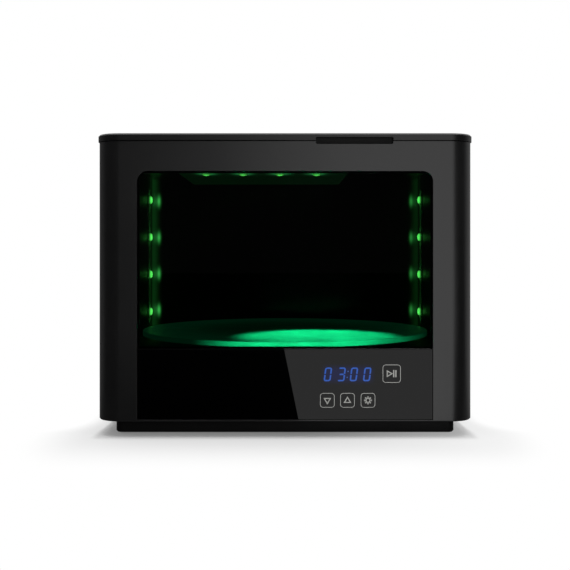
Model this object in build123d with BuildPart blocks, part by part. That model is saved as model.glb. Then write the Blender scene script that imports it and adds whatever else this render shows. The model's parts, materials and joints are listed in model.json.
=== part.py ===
from build123d import *
from math import cos, radians, sin, sqrt
import os

# Bench-top light curing unit: a rounded sheet-steel housing on a set-back plinth, a flip-up lid that
# carries a ceiling lamp, two lamp columns, and a driven turntable seen through a tinted front window.
# Millimetres. +Z is up, the front faces -Y, and the origin is on the table at the centre of the footprint.

os.makedirs("parts", exist_ok=True)

# ---------------------------------------------------------------- driving dimensions
# Housing: one folded and welded steel tube with rounded corners.
housing_width = 328.0
housing_depth = 328.0
housing_height = 242.8
housing_corner = 20.5
sheet = 1.5
bottom_flange = 8.0
bottom_edge_bevel = 0.8

# Plinth pan and feet.
foot_drop = 1.5
foot_radius = 9.0
foot_inset = 24.0
foot_recess = 1.4
foot_play = 0.2
foot_sides = 12
plinth_height = 12.0
plinth_setback = 14.7
plinth_corner = 6.0
pan_wall = 2.5
pan_edge_bevel = 1.2
pan_play = 0.3
vent_length = 40.0
vent_width = 3.0
vent_pitch = 9.0
vent_count = 10
vent_inset = 60.0

# Lid.
lid_overhang = 1.0
lid_height = 6.2
lid_gap = 0.5
lid_wall = 2.2
lid_top = 2.2
lid_edge_bevel = 1.3

# Hinge along the lid's rear edge.
hinge_inset = 6.5
hinge_clear = 0.4
hinge_edge_gap = 0.7
barrel_step = 0.25
knuckle_length = 30.0
knuckle_spread = 105.0
pin_radius = 1.25
pin_play = 0.05
pin_reach = 14.0
rail_foot_depth = 4.0
rail_foot_play = 0.7
rail_foot_end = 24.0

# Finger notch across the seam between lid and housing, closed behind by a cup.
notch_width = 66.7
notch_centre = 60.2
notch_below = 2.5
notch_above = 3.4
notch_corner = 1.2
notch_depth = 3.5
cup_wall = 1.5
cup_margin = 4.0

# Front: window pane over a control fascia, both in one cut-out that reaches down to the bottom flange.
cutout_side = 36.0
cutout_below_top = 26.0
cutout_corner = 9.0
panel_seam = 0.3
panel_thickness = 3.0
panel_recess = 0.3
fascia_height = 61.0
frame_thickness = 5.0
frame_overlap = 12.0
frame_ledge = 1.5
frame_bar = 7.0

# Chamber.
liner_sheet = 1.0
liner_side_gap = 3.5
liner_return = 24.0
liner_bend = 12.0
service_depth = 24.5
compartment_height = 51.3
deck_sheet = 1.2
deck_play = 0.3
rim_thickness = 2.5
rim_play = 0.2
rim_cover = 1.0

# Lid lining, seal and ceiling lamp.
lining_sheet = 1.2
lining_drop = 15.8
lining_clear = 2.5
lining_flange = 2.0
seal_width = 3.6
seal_height = 6.7
seal_inset = 0.3
lamp_tray_width = 168.0
lamp_tray_depth = 240.0
lamp_tray_height = 7.5
lamp_tray_corner = 4.0
lamp_tray_sheet = 1.2
lamp_tray_x = -21.5
lamp_tray_y = -14.0
ceiling_led_x = -23.4
ceiling_led_y = -44.0
ceiling_led_pitch = 36.5
ceiling_led_count = 4

# Lamp boards and their lensed diodes.
board_sheet = 1.2
lamp_board_width = 14.0
lamp_board_end = 12.0
column_board_inset = 28.0
column_led_bottom = 91.0
column_led_top_gap = 31.3
column_led_count = 4
led_base = 10.0
led_base_height = 0.4
led_hole_play = 0.2
lens_radius = 4.2
lens_height = 2.8
lens_sides = 12
lens_crown_radius = 2.4

# Turntable and its drive.
disc_thickness = 4.5
disc_edge_gap = 2.4
disc_lift = 10.5
disc_edge_bevel = 0.5
hub_flange_radius = 62.0
hub_flange = 3.0
hub_sides = 36
hub_boss_radius = 9.0
hub_boss_gap = 0.5
hub_rib_count = 3
hub_rib_width = 2.4
hub_rib_height = 3.0
hub_screw_circle = 44.0
hub_screw_count = 3
hub_screw_bite = 2.4
shaft_radius = 3.0
shaft_flat = 0.5
shaft_play = 0.05
shaft_reach = 11.5
gearbox_radius = 18.5
gearbox_height = 20.0
gearbox_offset = 7.0
gearbox_boss_radius = 6.0
gearbox_boss_height = 5.0
motor_sides = 24
motor_radius = 16.0
motor_height = 24.0
motor_screw_circle = 15.0

# Rear frame and cover, fan, inlet and switch.
rear_side = 26.0
rear_below_top = 12.3
rear_bottom = 22.0
rear_corner = 8.0
rear_landing = 10.0
rear_overlap = 4.0
rear_frame_sheet = 1.5
cover_sheet = 1.2
cover_play = 0.4
pocket_inset = 61.0
pocket_z = 48.0
pocket_width = 84.0
pocket_height = 28.0
pocket_depth = 2.4
louvre_width = 26.0
louvre_height = 3.0
louvre_pitch = 9.0
louvre_rows = 4
louvre_columns = 4
louvre_spacing = 38.0
louvre_inset = 26.0
fan_size = 60.0
fan_corner = 4.0
fan_thickness = 15.0
fan_lift = 17.0
fan_bore = 28.6
fan_tip_gap = 0.8
fan_hub_radius = 13.0
fan_sides = 30
fan_blades = 7
fan_blade_sheet = 1.2
fan_pitch = 40.0
fan_spider = 2.0
fan_strut = 3.0
fan_axle_radius = 2.0
fan_screw_pitch = 50.0
grille_rows = 4
grille_pitch = 5.6
grille_strut = 5.0
grille_slot = 3.4
inlet_offset = -19.0
inlet_nut_radius = 7.0
inlet_nut = 1.2
inlet_body_radius = 5.5
inlet_play = 0.2
inlet_bore_radius = 3.2
inlet_pin_radius = 1.05
inlet_depth = 11.0
inlet_floor = 2.0
inlet_pin_short = 1.0
inlet_sides = 16
switch_offset = 19.0
switch_width = 21.0
switch_height = 15.0
switch_flange = 1.0
switch_wall = 1.4
switch_depth = 12.0
rocker_radius = 8.0
rocker_play = 0.3
rocker_angle = 7.0
rocker_rise = 1.4

# Pan-head screws.
screw_radius = 1.5
screw_head_radius = 2.8
screw_head_height = 1.3
screw_length = 6.0
screw_play = 0.05
screw_sides = 8
screw_head_sides = 12

# Electronics.
pcb_sheet = 1.6
post_height = 6.0
post_radius = 3.0
post_sides = 6
control_board_width = 112.0
control_board_height = 44.0
control_board_inset = 8.0
control_board_z = 42.0
board_inset = 4.5
display_width = 50.0
display_height = 19.0
display_depth = 8.0
display_inset = 73.8
display_z = 53.9
key_row_z = 31.5
key_pitch = 17.6
key_inset = 91.4
key_count = 3
play_key_inset = 35.8
play_key_z = 54.6
spring_radius = 3.5
spring_sides = 8
driver_width = 110.0
driver_depth = 74.0
driver_x = -72.0
driver_y = 62.0
coil_radius = 13.0
coil_height = 16.0
coil_x = -98.0
coil_y = 46.0
coil_sides = 16
capacitor_radius = 6.3
capacitor_height = 24.0
capacitor_x = -60.0
capacitor_y = 42.0
capacitor_pitch = 15.0
capacitor_count = 3
capacitor_sides = 16
heat_sink_width = 40.0
heat_sink_depth = 16.0
heat_sink_height = 22.0
heat_sink_x = -72.0
heat_sink_y = 82.0
heat_sink_fins = 6
heat_sink_fin = 1.6
heat_sink_root = 4.0

# Lid sensor and magnet.
magnet_radius = 4.0
magnet_height = 3.0
magnet_sides = 12
sensor_width = 18.0
sensor_depth = 8.0
sensor_height = 6.0
sensor_inset = 37.0

# ---------------------------------------------------------------- levels and planes that follow from them
plinth_bottom = foot_drop
housing_bottom = plinth_bottom + plinth_height
housing_top = housing_bottom + housing_height
lid_bottom = housing_top + lid_gap
lid_top_z = lid_bottom + lid_height
lid_width = housing_width + 2 * lid_overhang
lid_depth = housing_depth + 2 * lid_overhang
lid_corner = housing_corner + lid_overhang
lid_under = lid_top_z - lid_top

inner_width = housing_width - 2 * sheet
inner_depth = housing_depth - 2 * sheet
inner_corner = housing_corner - sheet
front_face = -housing_depth / 2
front_inner = front_face + sheet
rear_face = housing_depth / 2
rear_inner = rear_face - sheet
shelf_top = housing_bottom + sheet
pan_flange_top = shelf_top + pan_wall
pan_floor_top = plinth_bottom + pan_wall
plinth_width = housing_width - 2 * plinth_setback
plinth_depth = housing_depth - 2 * plinth_setback

cutout_width = housing_width - 2 * cutout_side
cutout_half = cutout_width / 2
cutout_top = housing_top - cutout_below_top
panel_width = cutout_width - 2 * panel_seam
fascia_bottom = shelf_top + panel_seam
fascia_top = fascia_bottom + fascia_height
pane_bottom = fascia_top + panel_seam
pane_top = cutout_top - panel_seam
panel_front = front_face + panel_recess
panel_back = panel_front + panel_thickness
frame_back = front_inner + frame_thickness
frame_width = cutout_width + 2 * frame_overlap
frame_bottom = pan_flange_top + pan_play
frame_top = cutout_top + frame_overlap

liner_half = inner_width / 2 - liner_side_gap - liner_sheet
liner_back = rear_inner - service_depth
deck_top = pan_flange_top + compartment_height - pan_wall
deck_bottom = deck_top - deck_sheet
rim_top = housing_top - notch_below
rim_bottom = rim_top - rim_thickness
opening_half = liner_half - rim_cover
opening_front = frame_back + liner_sheet + rim_cover
opening_back = liner_back - rim_cover
opening_depth = opening_back - opening_front
opening_y = (opening_back + opening_front) / 2
turntable_y = (frame_back + liner_sheet + liner_back) / 2
chamber_half_depth = (liner_back - frame_back - liner_sheet) / 2
disc_radius = min(liner_half, chamber_half_depth) - disc_edge_gap
column_board_y = liner_back - column_board_inset
disc_bottom = deck_top + disc_lift

hinge_y = lid_depth / 2 - hinge_inset
hinge_z = (lid_bottom + lid_top_z) / 2
knuckle_radius = lid_height / 2
barrel_radius = knuckle_radius - barrel_step
lid_rear_edge = hinge_y - knuckle_radius - hinge_edge_gap
lining_under = lid_under - lining_drop
tray_under = lining_under - lamp_tray_height
screw_hole = screw_radius + screw_play
cover_outer = rear_inner + cover_sheet
rear_width = housing_width - 2 * rear_side
pocket_x = pocket_inset - rear_width / 2
inlet_x = pocket_x + inlet_offset
switch_x = pocket_x + switch_offset
control_board_x = cutout_half - control_board_inset - control_board_width / 2
display_x = cutout_half - display_inset
key_first_x = cutout_half - key_inset
play_key_x = cutout_half - play_key_inset
rear_height = housing_top - rear_below_top - rear_bottom
cover_z = rear_bottom + rear_height / 2
fan_z = cover_z + fan_lift
louvre_z = rear_bottom + rear_height - louvre_inset
sensor_x = sensor_inset - opening_half
column_led_pitch = (rim_bottom - column_led_top_gap - column_led_bottom) / (column_led_count - 1)
tiny = 0.01


def keep(builder, name):
    # Labels a finished piece and writes its STEP file.
    builder.part.label = name
    export_step(builder.part, f"parts/{name}.step")


def rounded(width, depth, radius, x=0.0, y=0.0):
    # A rounded rectangle at x, y of the current sketch plane.
    with Locations((x, y)):
        RectangleRounded(width, depth, radius)


def slab(plane, x, y, width, depth, height, mode=Mode.ADD):
    # A rectangular block that stands on a plane, with its centre over x, y of that plane.
    with BuildSketch(plane) as outline:
        with Locations((x, y)):
            Rectangle(width, depth)
    extrude(outline.sketch, amount=height, mode=mode)


def rod(plane, places, radius, height, mode=Mode.ADD, sides=0):
    # Equal cylinders, or prisms where sides are given, that stand on a plane at the given places.
    with BuildSketch(plane) as outline:
        with Locations(*places):
            if sides:
                RegularPolygon(radius, sides)
            else:
                Circle(radius)
    extrude(outline.sketch, amount=height, mode=mode)


def screw_holes(plane, places, depth):
    # Clearance holes for the shanks of screws, cut from a plane.
    rod(plane, places, screw_hole, depth, Mode.SUBTRACT, screw_sides)


def level(z):
    return Plane.XY.offset(z)


def facing_rear(y):
    # A plane at depth y that looks to the rear: its x runs to the left, its y is up.
    return Plane(origin=(0, y, 0), x_dir=(-1, 0, 0), z_dir=(0, 1, 0))


def facing_front(y):
    # A plane at depth y that looks to the front: its x runs to the right, its y is up.
    return Plane(origin=(0, y, 0), x_dir=(1, 0, 0), z_dir=(0, -1, 0))


def pan_head_screws(plane, places, name, length=screw_length):
    # Identical screws. The heads stand on the plane and the shanks go down through it.
    with BuildPart() as screws:
        rod(plane, places, screw_head_radius, screw_head_height, sides=screw_head_sides)
        rod(plane, places, screw_radius, -length, sides=screw_sides)
    keep(screws, name)


# ---------------------------------------------------------------- fastener places shared by holes and screws
pan_screw_line = (plinth_width + inner_width) / 4
pan_screw_run = plinth_width / 3
pan_screw_places = [(side * pan_screw_line, row * pan_screw_run) for side in (-1, 1) for row in (-1, 1)]
cover_edge = rear_landing / 2
cover_screw_places = [
    (column * (rear_width / 2 - cover_edge), cover_z + row * (rear_height / 2 - cover_edge))
    for column in (-1, 1)
    for row in (-1, 0, 1)
]
fan_screw_places = [
    (column * fan_screw_pitch / 2, fan_z + row * fan_screw_pitch / 2) for column in (-1, 1) for row in (-1, 1)
]
hub_screw_turns = [180 / hub_rib_count + turn * 360 / hub_screw_count for turn in range(hub_screw_count)]
hub_screw_places = [
    (hub_screw_circle * cos(radians(turn)), turntable_y + hub_screw_circle * sin(radians(turn)))
    for turn in hub_screw_turns
]
motor_screw_places = [(side * motor_screw_circle, turntable_y + gearbox_offset) for side in (-1, 1)]

# ---------------------------------------------------------------- housing
with BuildPart() as housing_wrap:
    with BuildSketch(level(housing_bottom)):
        RectangleRounded(housing_width, housing_depth, housing_corner)
    extrude(amount=housing_height)
    chamfer(housing_wrap.edges().group_by(Axis.Z)[0], bottom_edge_bevel)
    with BuildSketch(level(shelf_top)):
        RectangleRounded(inner_width, inner_depth, inner_corner)
    extrude(amount=housing_height, mode=Mode.SUBTRACT)
    with BuildSketch(level(housing_bottom)):
        RectangleRounded(inner_width - 2 * bottom_flange, inner_depth - 2 * bottom_flange, inner_corner / 2)
    extrude(amount=sheet, mode=Mode.SUBTRACT)
    with BuildSketch(facing_front(front_inner)) as cutout:
        with Locations((0, (shelf_top + cutout_top) / 2)):
            Rectangle(cutout_width, cutout_top - shelf_top)
        fillet(cutout.vertices().group_by(Axis.Y)[-1], cutout_corner)
    extrude(amount=sheet, mode=Mode.SUBTRACT)
    with BuildSketch(facing_front(front_inner)) as notch:
        with Locations((notch_centre, housing_top)):
            Rectangle(notch_width, 2 * notch_below)
        fillet(notch.vertices().group_by(Axis.Y)[0], notch_corner)
    extrude(amount=sheet, mode=Mode.SUBTRACT)
    with BuildSketch(facing_rear(rear_inner)):
        rounded(rear_width, rear_height, rear_corner, 0, cover_z)
    extrude(amount=sheet, mode=Mode.SUBTRACT)
    screw_holes(level(housing_bottom), pan_screw_places, sheet)
keep(housing_wrap, "housing_wrap")

# ---------------------------------------------------------------- plinth pan, feet and pan screws
with BuildPart() as base_pan:
    with BuildSketch(level(plinth_bottom)):
        RectangleRounded(plinth_width, plinth_depth, plinth_corner)
    extrude(amount=pan_flange_top - plinth_bottom)
    chamfer(base_pan.edges().group_by(Axis.Z)[0], pan_edge_bevel)
    with BuildSketch(level(shelf_top)):
        RectangleRounded(inner_width - 2 * pan_play, inner_depth - 2 * pan_play, inner_corner - pan_play)
    extrude(amount=pan_wall)
    with BuildSketch(level(pan_floor_top)):
        RectangleRounded(plinth_width - 2 * pan_wall, plinth_depth - 2 * pan_wall, plinth_corner - pan_wall)
    extrude(amount=pan_flange_top, mode=Mode.SUBTRACT)
    with BuildSketch(level(plinth_bottom)):
        with GridLocations(plinth_width - 2 * foot_inset, plinth_depth - 2 * foot_inset, 2, 2):
            RegularPolygon(foot_radius + foot_play, foot_sides)
    extrude(amount=foot_recess, mode=Mode.SUBTRACT)
    screw_holes(level(shelf_top), pan_screw_places, pan_wall)
    slab(level(shelf_top), 0, front_inner + (panel_back - front_inner) / 2, cutout_width + 2 * pan_play,
         panel_back - front_inner + 2 * pan_play, pan_wall, Mode.SUBTRACT)
    with BuildSketch(level(plinth_bottom)):
        with Locations((0, -plinth_depth / 2 + vent_inset)):
            with GridLocations(vent_pitch, 0, vent_count, 1):
                Rectangle(vent_width, vent_length)
    extrude(amount=pan_wall, mode=Mode.SUBTRACT)
keep(base_pan, "base_pan")

with BuildPart() as rubber_feet:
    with BuildSketch(level(0)):
        with GridLocations(plinth_width - 2 * foot_inset, plinth_depth - 2 * foot_inset, 2, 2):
            RegularPolygon(foot_radius, foot_sides)
    extrude(amount=plinth_bottom + foot_recess)
    chamfer(rubber_feet.edges().group_by(Axis.Z)[0], foot_drop / 2)
keep(rubber_feet, "rubber_feet")

pan_screw_plane = Plane(origin=(0, 0, housing_bottom), x_dir=(1, 0, 0), z_dir=(0, 0, -1))
pan_head_screws(pan_screw_plane, pan_screw_places, "pan_screws", sheet + pan_wall)

# ---------------------------------------------------------------- deck over the electronics
deck_width = inner_width - 2 * deck_play
deck_depth = inner_depth - frame_thickness - 2 * deck_play - rear_frame_sheet
deck_y = (frame_thickness - rear_frame_sheet) / 2
with BuildPart() as deck:
    with BuildSketch(level(pan_flange_top)):
        with Locations((0, deck_y)):
            Rectangle(deck_width, deck_depth - 2 * inner_corner)
    extrude(amount=deck_top - pan_flange_top)
    slab(level(pan_flange_top), 0, deck_y, deck_width - 2 * deck_sheet, deck_depth,
         deck_bottom - pan_flange_top, Mode.SUBTRACT)
    slab(level(deck_bottom), 0, deck_y, deck_width - 2 * inner_corner, deck_depth, deck_sheet)
    rod(level(deck_bottom), [(0, turntable_y)], gearbox_boss_radius + foot_play, deck_sheet, Mode.SUBTRACT)
    screw_holes(level(deck_bottom), motor_screw_places, deck_sheet)
keep(deck, "deck")

# ---------------------------------------------------------------- window frame, pane and fascia
# The pane and fascia lie in a rebate of bars: two stiles, and three rails between them.
stile_inner = cutout_half - frame_ledge
stile_width = frame_width / 2 - stile_inner
rebate_depth = panel_back - front_inner
rail_levels = [
    (frame_bottom, frame_bottom + frame_ledge),
    (fascia_top - frame_bar / 2, pane_bottom + frame_bar / 2),
    (cutout_top - frame_ledge, frame_top),
]
with BuildPart() as frame_stiles:
    for side in (-1, 1):
        slab(facing_front(frame_back), side * (stile_inner + stile_width / 2), (frame_bottom + frame_top) / 2,
             stile_width, frame_top - frame_bottom, frame_thickness)
    slab(facing_front(front_inner), 0, (frame_bottom + cutout_top) / 2, cutout_width,
         cutout_top - frame_bottom, -rebate_depth, Mode.SUBTRACT)
keep(frame_stiles, "frame_stiles")

with BuildPart() as frame_rails:
    for low, high in rail_levels:
        slab(facing_front(frame_back), 0, (low + high) / 2, 2 * stile_inner, high - low, frame_thickness)
    slab(facing_front(front_inner), 0, (frame_bottom + cutout_top) / 2, cutout_width,
         cutout_top - frame_bottom, -rebate_depth, Mode.SUBTRACT)
keep(frame_rails, "frame_rails")

with BuildPart() as window_pane:
    with BuildSketch(facing_front(panel_back)) as pane_plan:
        with Locations((0, (pane_bottom + pane_top) / 2)):
            Rectangle(panel_width, pane_top - pane_bottom)
        fillet(pane_plan.vertices().group_by(Axis.Y)[-1], cutout_corner - panel_seam)
    extrude(amount=panel_thickness)
keep(window_pane, "window_pane")

with BuildPart() as control_fascia:
    slab(facing_front(panel_back), 0, (fascia_bottom + fascia_top) / 2, panel_width, fascia_height,
         panel_thickness)
keep(control_fascia, "control_fascia")

# ---------------------------------------------------------------- control board behind the fascia
board_places = [
    (
        control_board_x + column * (control_board_width / 2 - board_inset),
        control_board_z + row * (control_board_height / 2 - board_inset),
    )
    for column in (-1, 1)
    for row in (-1, 1)
]
key_places = [(key_first_x + key * key_pitch, key_row_z) for key in range(key_count)]
key_places.append((play_key_x, play_key_z))
board_front = panel_back + display_depth
with BuildPart() as control_board:
    slab(facing_rear(board_front), -control_board_x, control_board_z, control_board_width,
         control_board_height, pcb_sheet)
keep(control_board, "control_board")

with BuildPart() as board_posts:
    rod(facing_rear(panel_back), [(-x, z) for x, z in board_places], post_radius, display_depth,
        sides=post_sides)
keep(board_posts, "board_posts")

with BuildPart() as display_module:
    slab(facing_rear(panel_back), -display_x, display_z, display_width, display_height, display_depth)
keep(display_module, "display_module")

with BuildPart() as touch_springs:
    rod(facing_rear(panel_back), [(-x, z) for x, z in key_places], spring_radius, display_depth,
        sides=spring_sides)
keep(touch_springs, "touch_springs")

# ---------------------------------------------------------------- chamber liner, bent from one sheet
with BuildPart() as chamber_liner:
    outer_half = liner_half + liner_sheet
    with BuildSketch(level(deck_top)):
        with BuildLine():
            Polyline(
                (-outer_half + liner_return, frame_back),
                (-outer_half, frame_back),
                (-outer_half, liner_back + liner_sheet),
                (outer_half, liner_back + liner_sheet),
                (outer_half, frame_back),
                (outer_half - liner_return, frame_back),
                (outer_half - liner_return, frame_back + liner_sheet),
                (liner_half, frame_back + liner_sheet),
                (liner_half, liner_back),
                (-liner_half, liner_back),
                (-liner_half, frame_back + liner_sheet),
                (-outer_half + liner_return, frame_back + liner_sheet),
                close=True,
            )
        make_face()
    extrude(amount=rim_bottom - deck_top)
    for bend_x, bend in ((liner_half, liner_bend - liner_sheet), (outer_half, liner_bend)):
        upright = chamber_liner.edges().filter_by(Axis.Z)
        fillet(upright.filter_by(lambda edge: abs(abs(edge.center().X) - bend_x) < tiny), bend)
keep(chamber_liner, "chamber_liner")

# ---------------------------------------------------------------- rim between liner and housing
with BuildPart() as top_rim:
    with BuildSketch(level(rim_bottom)):
        RectangleRounded(inner_width - 2 * rim_play, inner_depth - 2 * rim_play, inner_corner - rim_play)
        with Locations((0, opening_y)):
            RectangleRounded(2 * opening_half, opening_depth, liner_bend, mode=Mode.SUBTRACT)
    extrude(amount=rim_thickness)
keep(top_rim, "top_rim")

# ---------------------------------------------------------------- lamp columns in the rear corners
column_board_height = (column_led_count - 1) * column_led_pitch + 2 * lamp_board_end
column_middle = column_led_bottom + (column_led_count - 1) * column_led_pitch / 2
column_levels = [column_led_bottom + step * column_led_pitch for step in range(column_led_count)]


def lamp_group(plane, places, base_height, name):
    # Lensed diodes: a square base on the plane with a lens on it that is bevelled at the top.
    with BuildPart() as lamps:
        with BuildSketch(plane) as bases:
            with Locations(*places):
                Rectangle(led_base, led_base)
        extrude(bases.sketch, amount=base_height)
        rod(plane.offset(base_height), places, lens_radius, lens_height, sides=lens_sides)
        crowns = [face for face in lamps.faces() if abs(face.normal_at().dot(plane.z_dir) - 1) < tiny]
        tops = [face for face in crowns
                if abs((face.center() - plane.origin).dot(plane.z_dir) - base_height - lens_height) < tiny]
        chamfer([edge for face in tops for edge in face.edges()], lens_radius - lens_crown_radius)
    keep(lamps, name)


for side, hand in ((-1, "left"), (1, "right")):
    wall = Plane(origin=(side * liner_half, 0, 0), x_dir=(0, side * -1, 0), z_dir=(-side, 0, 0))
    flip = -side
    with BuildPart() as column_board:
        slab(wall, flip * column_board_y, column_middle, lamp_board_width, column_board_height, board_sheet)
    keep(column_board, f"column_board_{hand}")
    column_places = [(flip * column_board_y, z) for z in column_levels]
    lamp_group(wall.offset(board_sheet), column_places, led_base_height, f"column_lamps_{hand}")

# ---------------------------------------------------------------- turntable and drive
with BuildPart() as turntable_disc:
    with BuildSketch(level(disc_bottom)):
        with Locations((0, turntable_y)):
            Circle(disc_radius)
    extrude(amount=disc_thickness)
    chamfer(turntable_disc.edges().group_by(Axis.Z)[-1], disc_edge_bevel)
    screw_holes(level(disc_bottom), hub_screw_places, hub_screw_bite)
keep(turntable_disc, "turntable_disc")

boss_bottom = deck_bottom + gearbox_boss_height + hub_boss_gap
with BuildPart() as turntable_hub:
    rod(level(disc_bottom - hub_flange), [(0, turntable_y)], hub_flange_radius, hub_flange, sides=hub_sides)
    rod(level(boss_bottom), [(0, turntable_y)], hub_boss_radius, disc_bottom - hub_flange - boss_bottom)
    with BuildSketch(level(disc_bottom - hub_flange - hub_rib_height)):
        with Locations((0, turntable_y)):
            with PolarLocations((hub_boss_radius + hub_flange_radius) / 2 - hub_rib_width, hub_rib_count):
                Rectangle(hub_flange_radius - hub_boss_radius, hub_rib_width)
    extrude(amount=hub_rib_height)
    rod(level(boss_bottom), [(0, turntable_y)], shaft_radius + shaft_play, disc_bottom - boss_bottom,
        Mode.SUBTRACT)
    screw_holes(level(disc_bottom - hub_flange), hub_screw_places, hub_flange)
keep(turntable_hub, "turntable_hub")

hub_screw_plane = Plane(origin=(0, 0, disc_bottom - hub_flange), x_dir=(1, 0, 0), z_dir=(0, 0, -1))
hub_screw_mirror = [(x, -y) for x, y in hub_screw_places]
pan_head_screws(hub_screw_plane, hub_screw_mirror, "hub_screws", hub_flange + hub_screw_bite)

shaft_bottom = deck_bottom + gearbox_boss_height - shaft_reach / 2
with BuildPart() as drive_shaft:
    with BuildSketch(level(shaft_bottom)):
        with Locations((0, turntable_y)):
            Circle(shaft_radius)
        with Locations((0, turntable_y + 2 * shaft_radius - shaft_flat)):
            Rectangle(2 * shaft_radius, 2 * shaft_radius, mode=Mode.SUBTRACT)
    extrude(amount=disc_bottom - shaft_bottom)
keep(drive_shaft, "drive_shaft")

gearbox_y = turntable_y + gearbox_offset
with BuildPart() as gearbox:
    rod(level(deck_bottom - gearbox_height), [(0, gearbox_y)], gearbox_radius, gearbox_height,
        sides=motor_sides)
    rod(level(deck_bottom), [(0, turntable_y)], gearbox_boss_radius, gearbox_boss_height)
    rod(level(shaft_bottom - hub_boss_gap), [(0, turntable_y)], shaft_radius + shaft_play,
        gearbox_height, Mode.SUBTRACT)
    screw_holes(level(deck_bottom - screw_length), motor_screw_places, screw_length)
keep(gearbox, "gearbox")

with BuildPart() as drive_motor:
    rod(level(deck_bottom - gearbox_height - motor_height), [(0, gearbox_y)], motor_radius, motor_height,
        sides=motor_sides)
keep(drive_motor, "drive_motor")

pan_head_screws(level(deck_top), motor_screw_places, "motor_screws", screw_length)

# ---------------------------------------------------------------- driver board in the pan
driver_places = [
    (
        driver_x + column * (driver_width / 2 - board_inset),
        driver_y + row * (driver_depth / 2 - board_inset),
    )
    for column in (-1, 1)
    for row in (-1, 1)
]
driver_level = pan_floor_top + post_height
with BuildPart() as driver_posts:
    rod(level(pan_floor_top), driver_places, post_radius, post_height, sides=post_sides)
keep(driver_posts, "driver_posts")

with BuildPart() as driver_board:
    slab(level(driver_level), driver_x, driver_y, driver_width, driver_depth, pcb_sheet)
keep(driver_board, "driver_board")

with BuildPart() as driver_coil:
    rod(level(driver_level + pcb_sheet), [(coil_x, coil_y)], coil_radius, coil_height, sides=coil_sides)
    rod(level(driver_level + pcb_sheet), [(coil_x, coil_y)], coil_radius / 2, coil_height, Mode.SUBTRACT,
        coil_sides)
keep(driver_coil, "driver_coil")

with BuildPart() as capacitors:
    capacitor_row = [capacitor_x + step * capacitor_pitch for step in range(capacitor_count)]
    capacitor_places = [(x, capacitor_y) for x in capacitor_row]
    rod(level(driver_level + pcb_sheet), capacitor_places, capacitor_radius, capacitor_height,
        sides=capacitor_sides)
keep(capacitors, "capacitors")

with BuildPart() as heat_sink:
    slab(level(driver_level + pcb_sheet), heat_sink_x, heat_sink_y, heat_sink_width, heat_sink_depth,
         heat_sink_root)
    fin_pitch = (heat_sink_width - heat_sink_fin) / (heat_sink_fins - 1)
    with BuildSketch(level(driver_level + pcb_sheet + heat_sink_root)):
        with Locations((heat_sink_x, heat_sink_y)):
            with GridLocations(fin_pitch, 0, heat_sink_fins, 1):
                Rectangle(heat_sink_fin, heat_sink_depth)
    extrude(amount=heat_sink_height - heat_sink_root)
keep(heat_sink, "heat_sink")

# ---------------------------------------------------------------- rear frame and cover
with BuildPart() as rear_frame:
    with BuildSketch(facing_rear(rear_inner - rear_frame_sheet)):
        rounded(rear_width + 2 * rear_overlap, rear_height + 2 * rear_overlap, rear_corner, 0, cover_z)
        with Locations((0, cover_z)):
            RectangleRounded(rear_width - 2 * rear_landing, rear_height - 2 * rear_landing, rear_corner,
                             mode=Mode.SUBTRACT)
    extrude(amount=rear_frame_sheet)
    screw_holes(facing_rear(rear_inner - rear_frame_sheet), cover_screw_places, rear_frame_sheet)
keep(rear_frame, "rear_frame")

pocket_floor = cover_outer - pocket_depth
louvre_places = [
    (
        (column - (louvre_columns - 1) / 2) * louvre_spacing,
        louvre_z - row * louvre_pitch,
    )
    for column in range(louvre_columns)
    for row in range(louvre_rows)
]
with BuildPart() as rear_cover:
    with BuildSketch(facing_rear(rear_inner)):
        rounded(rear_width - 2 * cover_play, rear_height - 2 * cover_play, rear_corner - cover_play, 0,
                cover_z)
    extrude(amount=cover_sheet)
    slab(facing_rear(pocket_floor - cover_sheet), -pocket_x, pocket_z, pocket_width, pocket_height,
         pocket_depth)
    slab(facing_rear(pocket_floor), -pocket_x, pocket_z, pocket_width - 2 * cover_sheet,
         pocket_height - 2 * cover_sheet, pocket_depth, Mode.SUBTRACT)
    with BuildSketch(facing_rear(rear_inner)):
        for row in range(-grille_rows, grille_rows + 1):
            rise = row * grille_pitch
            reach = sqrt(fan_bore**2 - (abs(rise) + grille_slot / 2) ** 2)
            with Locations((0, fan_z + rise)):
                with GridLocations(reach + grille_strut / 2, 0, 2, 1):
                    Rectangle(reach - grille_strut / 2, grille_slot)
    extrude(amount=cover_sheet, mode=Mode.SUBTRACT)
    with BuildSketch(facing_rear(rear_inner)):
        with Locations(*louvre_places):
            Rectangle(louvre_width, louvre_height)
    extrude(amount=cover_sheet, mode=Mode.SUBTRACT)
    screw_holes(facing_rear(rear_inner), cover_screw_places, cover_sheet)
    screw_holes(facing_rear(rear_inner), fan_screw_places, cover_sheet)
    rod(facing_rear(pocket_floor - cover_sheet), [(-inlet_x, pocket_z)], inlet_body_radius + inlet_play,
        cover_sheet, Mode.SUBTRACT, inlet_sides)
    slab(facing_rear(pocket_floor - cover_sheet), -switch_x, pocket_z, switch_width - 2 * switch_flange,
         switch_height - 2 * switch_flange, cover_sheet, Mode.SUBTRACT)
keep(rear_cover, "rear_cover")

pan_head_screws(facing_rear(cover_outer), cover_screw_places, "cover_screws", cover_sheet + rear_frame_sheet)
pan_head_screws(facing_rear(cover_outer), fan_screw_places, "fan_screws", screw_length)

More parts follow.
